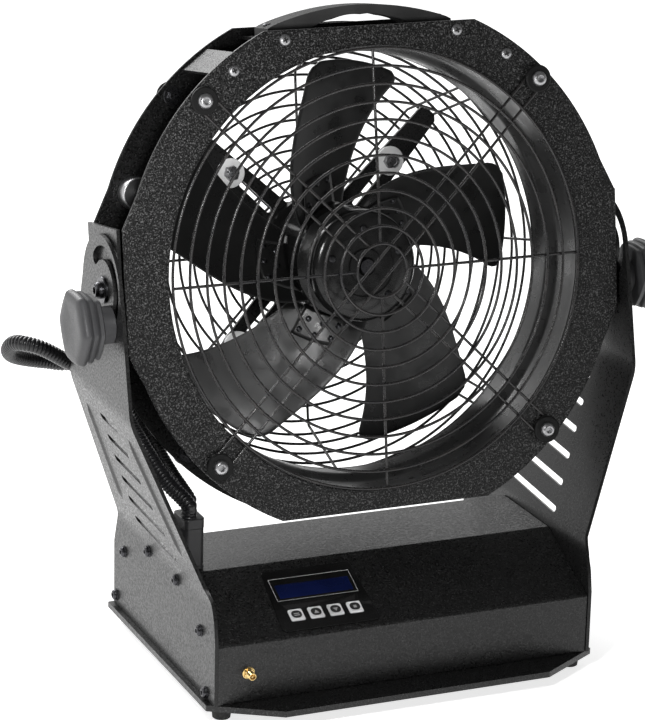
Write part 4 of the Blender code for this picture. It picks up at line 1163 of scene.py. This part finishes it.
def make_arm_screws():
    screws = bmesh.new()
    places = in_mm((106.0, 60.3), (46.5, 82.0), (-19.8, 81.1), (-74.3, 58.2), (-88.0, 10.5),
                   (126.0, 13.8))
    for side in (-1, 1):
        for y, z in places:
            spot = Vector((side * (ARM_LOW_X + ARM_THICK), y, z))
            hex_socket(screws, looking(spot, (side, 0, 0)), 4.6 * MM, 2.9 * MM, 2.0 * MM,
                       5.2 * MM, 0.8 * MM)
    dress(as_object("arm_screws", screws), "zinc_steel", "root", look=BLACK_SCREW)


# ---------------------------------------------------------------- clamps

def knob_radius(angle, radius, height):
    """A hexagon with round corners on the grip, a plain round sleeve below it."""
    if height < KNOB_SLEEVE:
        return radius
    return radius * min(1.0, 0.92 / to_flat(angle) ** 0.7)


def make_clamps():
    angle = radians(STUD_ANGLE)
    y, z = SLOT_RADIUS * cos(angle), SLOT_RADIUS * sin(angle)
    face = ARM_TOP_X + ARM_THICK
    profile = in_mm((0, 20.3), (5.3, 20.3), (5.3, 0.3), (15, 0.3), (15, 12), (17, 12.2), (25.4, 12.6),
                    (27, 13.8), (27, 16.6), (25.4, 17.8), (25.6, 18.4), (28.2, 19), (29.1, 20.2),
                    (29.1, 23), (27.5, 24.2), (27.7, 24.8), (30.2, 25.4), (31, 26.6), (30.9, 29.4),
                    (29.8, 31.4), (27.4, 32.7), (22, 33), (16, 32.4), (9, 31.7), (0, 31.4))
    for name, side, body in (("left", -1, "left_knob"), ("right", 1, "right_knob")):
        knob = bmesh.new()
        seat = looking((side * face, y, PIVOT_Z + z), (side, 0, 0))
        forwards = seat.to_3x3().inverted() @ Vector((0, -1, 0))
        ridge = atan2(forwards.y, forwards.x)
        lathe(knob, profile, seat, 144, lambda a, r, h: knob_radius(a - ridge, r, h))
        dress(as_object(name + "_knob_grip", knob, 50), "grey_plastic", body,
              [name + "_clamp_knob"])
        bolt = bmesh.new()
        pivot = looking((side * face, 0, PIVOT_Z), (side, 0, 0))
        hex_socket(bolt, pivot, 7.0 * MM, 5.6 * MM, 3.2 * MM, 11 * MM, 2.4 * MM)
        lathe(bolt, in_mm((0, -12), (5, -12), (5, 0.5), (0, 0.5)), pivot, 24)
        dress(as_object(name + "_pivot_hex", bolt), "zinc_steel", body_of_pivot(),
              [name + "_pivot_bolt"], BLACK_SCREW)


def body_of_pivot():
    """The pivot bolts ride on whichever body the record gives them."""
    for body, nodes in frame["record"]["behaviour"]["bodies"].items():
        if "left_pivot_bolt" in nodes:
            return body
    return "root"


# ---------------------------------------------------------------- base

def cover_section(inset, steps=6):
    """Y and Z of the folded cover's outline, inset from its outer face, with round folds."""
    corners = [(COVER_FRONT_Y, COVER_FOOT_Z), (COVER_FRONT_Y, COVER_KNEE_Z),
               (COVER_TOP_FRONT_Y, COVER_TOP_Z), (COVER_TOP_REAR_Y, COVER_TOP_Z),
               (COVER_REAR_Y, COVER_KNEE_Z), (COVER_REAR_Y, COVER_FOOT_Z)]
    corners = [Vector(corner) for corner in corners]
    fold = 3.2 * MM
    loop = [corners[0] + Vector((inset, 0))]
    for before, corner, after in zip(corners, corners[1:], corners[2:]):
        a = (before - corner).normalized()
        b = (after - corner).normalized()
        bisector = (a + b).normalized()
        half_angle = a.angle(b) / 2
        centre = corner + bisector * fold / sin(half_angle)
        first = corner + a * fold / (sin(half_angle) / cos(half_angle))
        last = corner + b * fold / (sin(half_angle) / cos(half_angle))
        start = atan2(first.y - centre.y, first.x - centre.x)
        sweep = atan2(last.y - centre.y, last.x - centre.x) - start
        sweep = (sweep + pi) % (2 * pi) - pi
        for i in range(steps + 1):
            angle = start + sweep * i / steps
            loop.append(centre + Vector((cos(angle), sin(angle))) * (fold - inset))
    loop.append(corners[-1] + Vector((-inset, 0)))
    return loop


def make_cover():
    """The folded cover: outer and inner skins joined at the foot, with rear openings."""
    shape = bmesh.new()
    skins = []
    for inset in (0.0, COVER_WALL):
        half = BASE_HALF_X - inset
        section = cover_section(inset)
        left = [shape.verts.new((-half, p.x, p.y)) for p in section]
        right = [shape.verts.new((half, p.x, p.y)) for p in section]
        for i in range(len(section) - 1):
            shape.faces.new((left[i], right[i], right[i + 1], left[i + 1]))
        shape.faces.new(left)
        shape.faces.new(list(reversed(right)))
        skins.append((left, right))
    (outer_left, outer_right), (inner_left, inner_right) = skins
    for end in (0, -1):
        shape.faces.new((outer_left[end], outer_right[end], inner_right[end], inner_left[end]))
    for outer, inner in ((outer_left, inner_left), (outer_right, inner_right)):
        shape.faces.new((outer[0], outer[-1], inner[-1], inner[0]))
    cover = as_object("cover_shell", shape)
    link(cover)
    cutters = []
    for name, radius in (("dmx_input", 12.2), ("dmx_output", 12.2), ("fuse_holder", 7.8)):
        middle = node_box(name)[2]
        hole = bmesh.new()
        lathe(hole, in_mm((0, -8), (radius, -8), (radius, 8), (0, 8)),
              looking((middle.x, COVER_REAR_Y, middle.z), (0, 1, 0)), 40)
        cutters.append(as_object("hole_" + name, hole))
    for name in ("power_inlet", "power_outlet"):
        low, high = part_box(name)
        flange = 2.7 * MM
        hole = bmesh.new()
        block(hole, (low[0] + flange, COVER_REAR_Y - 6 * MM, low[2] + flange),
              (high[0] - flange, COVER_REAR_Y + 6 * MM, high[2] - flange))
        cutters.append(as_object("hole_" + name, hole))
    for cutter in cutters:
        link(cutter)
        tool = cover.modifiers.new("hole", "BOOLEAN")
        tool.operation = "DIFFERENCE"
        tool.solver = "EXACT"
        tool.object = cutter
    graph = bpy.context.evaluated_depsgraph_get()
    mesh = bpy.data.meshes.new_from_object(cover.evaluated_get(graph))
    cover.modifiers.clear()
    cover.data = mesh
    for cutter in cutters:
        bpy.data.objects.remove(cutter, do_unlink=True)
    soften(cover, 0.8 * MM, 2, 60.0)
    dress(cover, "black_textured_coat", "root", ["base_cover"], BASE_COAT)


def button_x(number):
    return PANEL_CENTRE_X + (number - 1.5) * BUTTON_PITCH


def make_panel():
    """The gloss overlay with its window, printed frame and button openings."""
    x, low_up, high_up = PANEL_CENTRE_X, 5.0 * MM, 72.0 * MM
    half_low, half_high, corner = 42.5 * MM, 39.5 * MM, 4.0 * MM
    outline = arc(corner, 180, 270, 8, x - half_low + corner, low_up + corner)
    outline += arc(corner, 270, 360, 8, x + half_low - corner, low_up + corner)
    outline += arc(corner, 0, 90, 8, x + half_high - corner, high_up - corner)
    outline += arc(corner, 90, 180, 8, x - half_high + corner, high_up - corner)
    gap = 0.6 * MM
    holes = [rectangle(x, LCD_UP, LCD_WIDTH + gap, LCD_HEIGHT + gap)]
    for number in range(4):
        holes.append(rectangle(button_x(number), BUTTON_UP, BUTTON_SIZE + gap,
                               BUTTON_SIZE + gap, 1.2 * MM))
    thick = 1.2 * MM
    shape = moved(filled(outline, holes, thick),
                  SLOPE @ Matrix.Translation((0, 0, 0.3 * MM + thick / 2)))
    overlay = soften(as_object("panel_overlay", shape), 0.25 * MM)
    dress(overlay, "gloss_black", "root", ["display_bezel"])
    line = filled(rectangle(x, LCD_UP, LCD_WIDTH - 0.3 * MM, LCD_HEIGHT - 0.3 * MM),
                  [rectangle(x, LCD_UP, LCD_WIDTH - 1.2 * MM, LCD_HEIGHT - 1.2 * MM)], 0.1 * MM)
    moved(line, SLOPE @ Matrix.Translation((0, 0, 1.16 * MM)))
    dress(as_object("panel_line", line), "gloss_black", "root", look=WHITE_INK)
    glass = bmesh.new()
    block(glass, (x - LCD_WIDTH / 2, LCD_UP - LCD_HEIGHT / 2, -7 * MM),
          (x + LCD_WIDTH / 2, LCD_UP + LCD_HEIGHT / 2, 1.1 * MM), SLOPE)
    screen = soften(as_object("lcd_surround", glass), 0.2 * MM, 3)
    dress(screen, "gloss_black", "root", ["lcd_module"])
    active = bmesh.new()
    prism(active, rectangle(x, LCD_UP - 2.2 * MM, 64.5 * MM, 15.2 * MM, 0.8 * MM), 0.9 * MM,
          1.15 * MM, SLOPE)
    dress(as_object("lcd_window", active), "lcd_glass", "root")
    make_buttons()


def glyph_outline(number):
    """Generic marks: two bars, up, down and a square."""
    if number == 0:
        return [rectangle(0, y * MM, 4.6 * MM, 0.8 * MM) for y in (0.9, -0.9)]
    if number == 3:
        return [rectangle(0, 0, 2.6 * MM, 2.6 * MM)]
    way = 1 if number == 1 else -1
    return [in_mm((-2.2, -1.5 * way), (2.2, -1.5 * way), (0, 2.1 * way))]


def make_buttons():
    for number in range(4):
        seat = SLOPE @ Matrix.Translation((button_x(number), BUTTON_UP, 0))
        cap = bmesh.new()
        half = BUTTON_SIZE / 2
        levels = [(half, -4 * MM), (half, 1.9 * MM), (half - 0.25 * MM, 2.35 * MM),
                  (half - 0.8 * MM, 2.6 * MM), (half - 1.2 * MM, 2.6 * MM),
                  (half - 1.5 * MM, 2.35 * MM)]
        rings = []
        for reach, height in levels:
            loop = rectangle(0, 0, 2 * reach, 2 * reach, min(1.2 * MM, reach / 3), 6)
            rings.append(ring_at(cap, loop, height, seat))
        tube(cap, rings)
        body = "button_%d" % (number + 1)
        dress(as_object("button_cap_%d" % (number + 1), cap), "button_silver", body,
              ["menu_button_%d" % (number + 1)])
        pad = bmesh.new()
        prism(pad, rectangle(0, 0.3 * MM, 8.8 * MM, 7.8 * MM, 3.6 * MM, 6), 2.2 * MM, 2.5 * MM,
              seat)
        dress(as_object("button_pad_%d" % (number + 1), pad), "gloss_black", body, look=DARK_INK)
        mark = bmesh.new()
        for outline in glyph_outline(number):
            prism(mark, outline, 2.4 * MM, 2.58 * MM, seat)
        dress(as_object("button_mark_%d" % (number + 1), mark), "gloss_black", body, look=WHITE_INK)


def make_antenna_jack():
    middle = node_box("antenna_jack")[2]
    frame_at = looking((middle.x, COVER_FRONT_Y, middle.z), (0, -1, 0))
    jack = bmesh.new()
    hex_nut(jack, frame_at, 4.6 * MM, 2.0 * MM, 5.2 * MM, 0.5 * MM, 0.4)
    profile = in_mm((0, -8), (3.1, -8), (3.1, 2.4))
    for number in range(9):
        z = (2.6 + 0.68 * number) * MM
        profile += [(3.1 * MM, z), (2.75 * MM, z + 0.34 * MM)]
    profile += in_mm((3, 8.9), (2.3, 9), (2.3, 5), (0.9, 5), (0.9, 8.4), (0.5, 8.6), (0, 8.6))
    lathe(jack, profile, frame_at, 40)
    dress(as_object("antenna_thread", jack, 50), "brass", "root", ["antenna_jack"])


def make_rear_fittings():
    """Pins in the rear connectors, and a ribbed cap on the fuse holder."""
    pins = bmesh.new()
    for name in ("power_inlet", "power_outlet"):
        _, high, middle = node_box(name)
        for dx, dz in ((-7, -2), (7, -2), (0, 3)):
            block(pins, (middle.x + (dx - 1) * MM, high[1] - 15.8 * MM, middle.z + (dz - 2) * MM),
                  (middle.x + (dx + 1) * MM, high[1] - 5 * MM, middle.z + (dz + 2) * MM))
    for name in ("dmx_input", "dmx_output"):
        _, high, middle = node_box(name)
        for number in range(3):
            angle = radians(210 + 60 * number)
            spot = (middle.x + 4.6 * MM * cos(angle), high[1] - 17.8 * MM,
                    middle.z + 4.6 * MM * sin(angle))
            lathe(pins, in_mm((0, 0), (1.2, 0), (1.2, 12), (0.6, 13), (0, 13)),
                  looking(spot, (0, 1, 0)), 20)
    dress(as_object("connector_pins", pins), "zinc_steel", "root")
    _, high, middle = node_box("fuse_holder")
    cap = bmesh.new()
    lathe(cap, in_mm((0, 0), (6.6, 0), (6.6, 4.6), (5.8, 5.4), (0, 5.4)),
          looking((middle.x, high[1], middle.z), (0, 1, 0)), 48,
          lambda a, r, h: r * (1 + 0.03 * cos(18 * a)) if 0 < h < 5 * MM else r)
    dress(as_object("fuse_cap", cap), "black_plastic", "root")


def make_feet():
    feet = bmesh.new()
    names = ["rubber_foot_%d" % number for number in range(1, 5)]
    for name in names:
        low, high, middle = node_box(name)
        rise = high[2] - low[2]
        profile = in_mm((0, 1.5), (3.4, 1.5), (3.9, 0.3), (4.5, 0), (6.6, 0), (7.3, 0.5))
        profile += [(7.9 * MM, rise * 0.5), (8.3 * MM, rise * 0.8), (8.5 * MM, rise - 0.5 * MM),
                    (8.4 * MM, rise), (0, rise)]
        lathe(feet, profile, Matrix.Translation((middle.x, middle.y, low[2])), 48)
    dress(as_object("foot_pads", feet), "rubber", "root", names)
    places = [(x, y) for x in (-107, 2, 111) for y in (-112, 112)]
    places += [(side * 160, y) for side in (-1, 1) for y in (-56, 56)]
    seats = [looking((x * MM, y * MM, 0), (0, 0, -1)) for x, y in places]
    cross_screws("base_screw", seats, 4.6 * MM, 3.0 * MM, "root")


# ---------------------------------------------------------------- hoses and glands

def smooth_route(knots, spacing):
    """A Catmull-Rom curve through the knots, resampled to an even spacing."""
    ends = [knots[0] * 2 - knots[1]] + knots + [knots[-1] * 2 - knots[-2]]
    dense = []
    for a, b, c, d in zip(ends, ends[1:], ends[2:], ends[3:]):
        for step in range(30):
            t = step / 30
            dense.append(0.5 * (2 * b + (c - a) * t + (2 * a - 5 * b + 4 * c - d) * t ** 2
                                + (3 * b - a - 3 * c + d) * t ** 3))
    dense.append(knots[-1])
    lengths = [0.0]
    for a, b in zip(dense, dense[1:]):
        lengths.append(lengths[-1] + (b - a).length)
    count = int(lengths[-1] / spacing) + 1
    route, index = [], 0
    for step in range(count + 1):
        target = lengths[-1] * step / count
        while index < len(lengths) - 2 and lengths[index + 1] < target:
            index += 1
        share = (target - lengths[index]) / (lengths[index + 1] - lengths[index])
        route.append(dense[index].lerp(dense[index + 1], share))
    return route


def head_gland_mouth(v):
    return head_point(-199 * MM, v, HEAD_DEPTH + 22 * MM)


def hose_route(x, y, middle, bow, v):
    """A hose's knots: a stub up from the base gland, its free part, and a stub into the head."""
    start = Vector((x * MM, y * MM, GLAND_TOP + 0.3 * MM))
    lift, back = Vector((0, 0, 9 * MM)), HEAD_BACK * 9 * MM
    route = [start, start + lift * 0.5, start + lift] + [Vector(point) * MM for point in middle]
    return route + [head_gland_mouth(v) + back * share for share in (bow, 1.6, 0.8, 0.0)]


def hose_routes():
    """Both hoses, from the base gland to the glands on the head's rear plate."""
    middle_a = [(-161, -14, 149), (-168, -4, 157), (-175, 8, 169), (-183, 29, 188),
                (-190, 62, 208), (-199, 80, 221), (-209, 90, 231), (-223, 92, 239.3),
                (-242, 93, 251), (-255, 99, 255), (-262, 111, 253), (-262, 126, 243),
                (-254, 141, 233), (-240, 150, 226), (-221, 153, 221), (-203, 152, 218),
                (-188, 148, 225), (-181, 141, 241), (-184, 131, 266), (-194, 121, 290)]
    middle_b = [(-155, 3, 150), (-160, 18, 161), (-166, 38, 178), (-171, 60, 201),
                (-176, 86, 218), (-186, 102, 250), (-195, 106, 282)]
    return (hose_route(-157.2, -20, middle_a, 2.8, HEAD_GLANDS_V[0]),
            hose_route(-152.2, -6, middle_b, 2.4, HEAD_GLANDS_V[1]))


def corrugated(name, knots):
    """A corrugated conduit: rings of alternating radius swept along a route."""
    route = smooth_route(knots, HOSE_PITCH / 6)
    sides = 20
    shape = bmesh.new()
    rings = []
    across = Vector((1, 0, 0))
    levels = (0.0, 0.02, 0.3, 0.75, 0.3, 0.02)
    for i, spot in enumerate(route):
        ahead = (route[min(i + 1, len(route) - 1)] - route[max(i - 1, 0)]).normalized()
        across = (across - ahead * across.dot(ahead)).normalized()
        other = ahead.cross(across)
        radius = HOSE_R - 1.1 * MM * levels[i % 6]
        ring = []
        for k in range(sides):
            a = 2 * pi * k / sides
            ring.append(shape.verts.new(spot + (across * cos(a) + other * sin(a)) * radius))
        rings.append(ring)
    tube(shape, rings)
    return as_object(name, shape, 60)


def make_hoses():
    route_a, route_b = hose_routes()
    # low and high: the heights between which each hose goes over from the base to the head
    for name, node, route, low, high in (
            ("conduit_looped", "looped_hose", route_a, 0.279, 0.306),
            ("conduit_straight", "straight_hose", route_b, 0.250, 0.285)):
        hose = corrugated(name, route)
        link(hose)
        hose.data.materials.append(LOOKS["conduit"])
        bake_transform(hose)
        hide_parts(node)


def make_glands():
    low, high, middle = node_box("base_gland")
    width, depth = high.x - low.x, high.y - low.y
    shape = bmesh.new()
    outline = rectangle(middle.x, middle.y, width, depth, 5 * MM, 8)
    waist = rectangle(middle.x, middle.y, width - 1.6 * MM, depth - 1.6 * MM, 4.2 * MM, 8)
    prism(shape, waist, low.z, high.z - 8 * MM, Matrix.Identity(4))
    prism(shape, outline, high.z - 8.5 * MM, high.z, Matrix.Identity(4))
    prism(shape, outline, low.z, low.z + 3 * MM, Matrix.Identity(4))
    for number in range(6):
        y = low.y + 5 * MM + number * (depth - 10 * MM) / 5
        for side in (low.x, high.x - 1.2 * MM):
            block(shape, (side, y - 0.6 * MM, low.z + 3 * MM), (side + 1.2 * MM, y + 0.6 * MM,
                                                               high.z - 8 * MM))
    gland = soften(as_object("gland_block", shape), 0.6 * MM, 2, 50.0)
    dress(gland, "black_plastic", "root", ["base_gland"])
    nuts = bmesh.new()
    for v in HEAD_GLANDS_V:
        seat = looking(head_gland_mouth(v) - HEAD_BACK * 21.7 * MM, HEAD_BACK)
        hex_nut(nuts, seat, 10 * MM, 8 * MM, 0, 0, 0.3)
        lathe(nuts, in_mm((0, 7), (8.6, 7), (8.6, 16), (7.8, 19), (6.4, 21.2), (0, 21.2)), seat, 60,
              lambda a, r, h: r * (1 + 0.02 * cos(20 * a)) if 8 * MM < r < 9 * MM else r)
    dress(as_object("gland_nuts", nuts), "black_plastic", "head", ["head_gland_1", "head_gland_2"])


def make_capacitor():
    """A drawn can with a rolled rim round its dark front face."""
    u, v, radius, front = -182 * MM, 70 * MM, 13.6 * MM, 53 * MM
    length = HEAD_DEPTH - SHEET - 0.3 * MM - front
    seat = looking(head_point(u, v, front + length), -HEAD_BACK)
    can, face = bmesh.new(), bmesh.new()
    lathe(can, [(0, 0), (radius - 0.6 * MM, 0), (radius, 0.6 * MM), (radius, length - 1.2 * MM),
                (radius - 0.5 * MM, length - 0.2 * MM), (radius - 1.0 * MM, length),
                (radius - 1.5 * MM, length - 0.3 * MM), (radius - 1.5 * MM, length - 1.5 * MM),
                (0, length - 1.5 * MM)], seat, 64)
    lathe(face, [(0, length - 1.6 * MM), (radius - 1.7 * MM, length - 1.6 * MM),
                 (radius - 1.7 * MM, length - 0.9 * MM), (radius - 3 * MM, length - 0.6 * MM),
                 (5 * MM, length - 0.6 * MM), (4.4 * MM, length - 0.2 * MM),
                 (0, length - 0.2 * MM)], seat, 64)
    dress(as_object("capacitor_can", can), "aluminium_can", "head", ["run_capacitor"])
    dress(as_object("capacitor_end", face), "black_plastic", "head")


# ---------------------------------------------------------------- CAD pieces kept as they are

# Slot, then each node with the width of its soft edges in millimetres
KEPT = {
    "black_textured_coat": {
        "base_plate": 0.8, "top_tie_plate": 0.4, "left_tie_plate": 0.4, "right_tie_plate": 0.4,
        "left_side_bracket": 0.5, "right_side_bracket": 0.5},
    "zinc_steel": {
        "motor_shaft": 0.5, "front_bearing": 0.6, "rear_bearing": 0.6, "dmx_input": 0.5,
        "dmx_output": 0.5, "left_clamp_stud": 0.4, "right_clamp_stud": 0.4},
    "motor_black": {"motor_stator": 0.6},
    "black_plastic": {"power_inlet": 0.7, "power_outlet": 0.7, "fuse_holder": 0.5},
    "circuit_board": {"control_board": 0.2, "drive_board": 0.3},
}
OWN_LOOKS = {"base_plate": BASE_COAT, "motor_shaft": BLACK_SCREW}


def dress_kept_nodes():
    """Materials and soft edges on the CAD nodes that are shown as they are."""
    for slot, widths in KEPT.items():
        look = SMOOTH_COAT if slot == "black_textured_coat" else LOOKS[slot]
        for name, width in widths.items():
            node = frame["nodes"][name]
            node.data.materials.clear()
            node.data.materials.append(OWN_LOOKS.get(name, look))
            soften(node, width * MM, 2, 40.0)


# ---------------------------------------------------------------- studio

CAMERA_YAW = radians(-23.54)
CAMERA_PITCH = radians(17.21)
CAMERA_ROLL = radians(1.39)
CAMERA_PLACE = Vector((-0.9691, -2.1453, 0.9731))
CAMERA_LENS = 150.2
FLOOR_GAP = 0.5 * MM
BRIGHT_SIDE = (-0.15, 0.9, -0.55)


def make_camera():
    back = Vector((sin(CAMERA_YAW) * cos(CAMERA_PITCH), -cos(CAMERA_YAW) * cos(CAMERA_PITCH),
                   sin(CAMERA_PITCH)))
    right = Vector((cos(CAMERA_YAW), sin(CAMERA_YAW), 0))
    up = back.cross(right)
    turned_right = right * cos(CAMERA_ROLL) + up * sin(CAMERA_ROLL)
    turned_up = up * cos(CAMERA_ROLL) - right * sin(CAMERA_ROLL)
    camera = bpy.data.objects.new("camera", bpy.data.cameras.new("camera"))
    link(camera)
    turn = Matrix((turned_right, turned_up, back)).transposed().to_4x4()
    camera.matrix_world = Matrix.Translation(CAMERA_PLACE) @ turn
    camera.data.lens = CAMERA_LENS
    camera.data.clip_end = 50.0
    bpy.context.scene.camera = camera


def area_light(name, place, target, size, power, shade=1.0):
    data = bpy.data.lights.new(name, "AREA")
    data.shape = "RECTANGLE"
    data.size, data.size_y = size
    data.energy = power
    data.color = (1.0, shade, shade * shade)
    light = bpy.data.objects.new(name, data)
    link(light)
    aim = (Vector(target) - Vector(place)).to_track_quat("-Z", "Y")
    light.matrix_world = Matrix.Translation(place) @ aim.to_matrix().to_4x4()
    return light


def make_studio():
    floor_z = cad_box[0][2] - FLOOR_GAP
    shape = bmesh.new()
    block(shape, (-6, -6, floor_z - 0.02), (6, 6, floor_z))
    floor = as_object("studio_floor", shape)
    look = Look("studio_paper", (0.86, 0.86, 0.86), 0.9, specular=0.1)
    look.paint(look.ramp(look.noise(2.0, 2.0), [(0.3, 0.84), (0.7, 0.88)]))
    look.bump(look.noise(400.0, 2.0), 0.02 * MM)
    look.shader.inputs["Emission Color"].default_value = (1, 1, 1, 1)
    look.shader.inputs["Emission Strength"].default_value = 0.75
    floor.data.materials.append(look.made)
    link(floor)
    area_light("left_bank", (-2.2, 0.3, 1.2), (0, 0, 0.25), (1.4, 1.4), 8)
    area_light("back_bank", (-0.5, 1.9, 1.7), (0, 0, 0.3), (1.6, 1.0), 45)
    area_light("glint", (-0.30, -0.45, 0.55), (-0.2, 0, 0.35), (0.08, 0.08), 1.2)
    grain_fill = area_light("grain_fill", (-0.30, -0.45, 0.55), (-0.2, 0, 0.35), (0.08, 0.08), 1.4)
    grain_fill.visible_glossy = False
    make_world()


def make_world():
    """Bright behind, dim above and in front; white where the camera sees it."""
    world = bpy.data.worlds.new("studio")
    world.use_nodes = True
    bpy.context.scene.world = world
    tree = world.node_tree
    background = tree.nodes["Background"]
    background.inputs["Color"].default_value = (1, 1, 1, 1)
    way = tree.nodes.new("ShaderNodeTexCoord").outputs["Generated"]
    towards = tree.nodes.new("ShaderNodeVectorMath")
    towards.operation = "DOT_PRODUCT"
    towards.inputs[1].default_value = BRIGHT_SIDE
    tree.links.new(way, towards.inputs[0])
    level = add_node(tree, "ShaderNodeMapRange",
                     [("From Min", -0.3), ("From Max", 0.5), ("To Min", 0.12), ("To Max", 1.0)],
                     [("Value", towards.outputs["Value"])])
    seen = tree.nodes.new("ShaderNodeLightPath")
    choice = tree.nodes.new("ShaderNodeMix")
    tree.links.new(seen.outputs["Is Camera Ray"], choice.inputs["Factor"])
    tree.links.new(level.outputs["Result"], choice.inputs["A"])
    choice.inputs["B"].default_value = 1.05
    tree.links.new(choice.outputs["Result"], background.inputs["Strength"])


bpy.context.scene.view_settings.view_transform = "Standard"
for make in (make_camera, make_studio, make_head_plates, make_plate_screws, make_duct,
             make_front_guard, make_rear_guard, make_guard_bolts, make_handle, make_motor,
             make_blades, make_arms, make_clamps, make_cover, make_panel, make_antenna_jack,
             make_rear_fittings, make_feet, make_hoses, make_glands, make_capacitor,
             dress_kept_nodes):
    make()
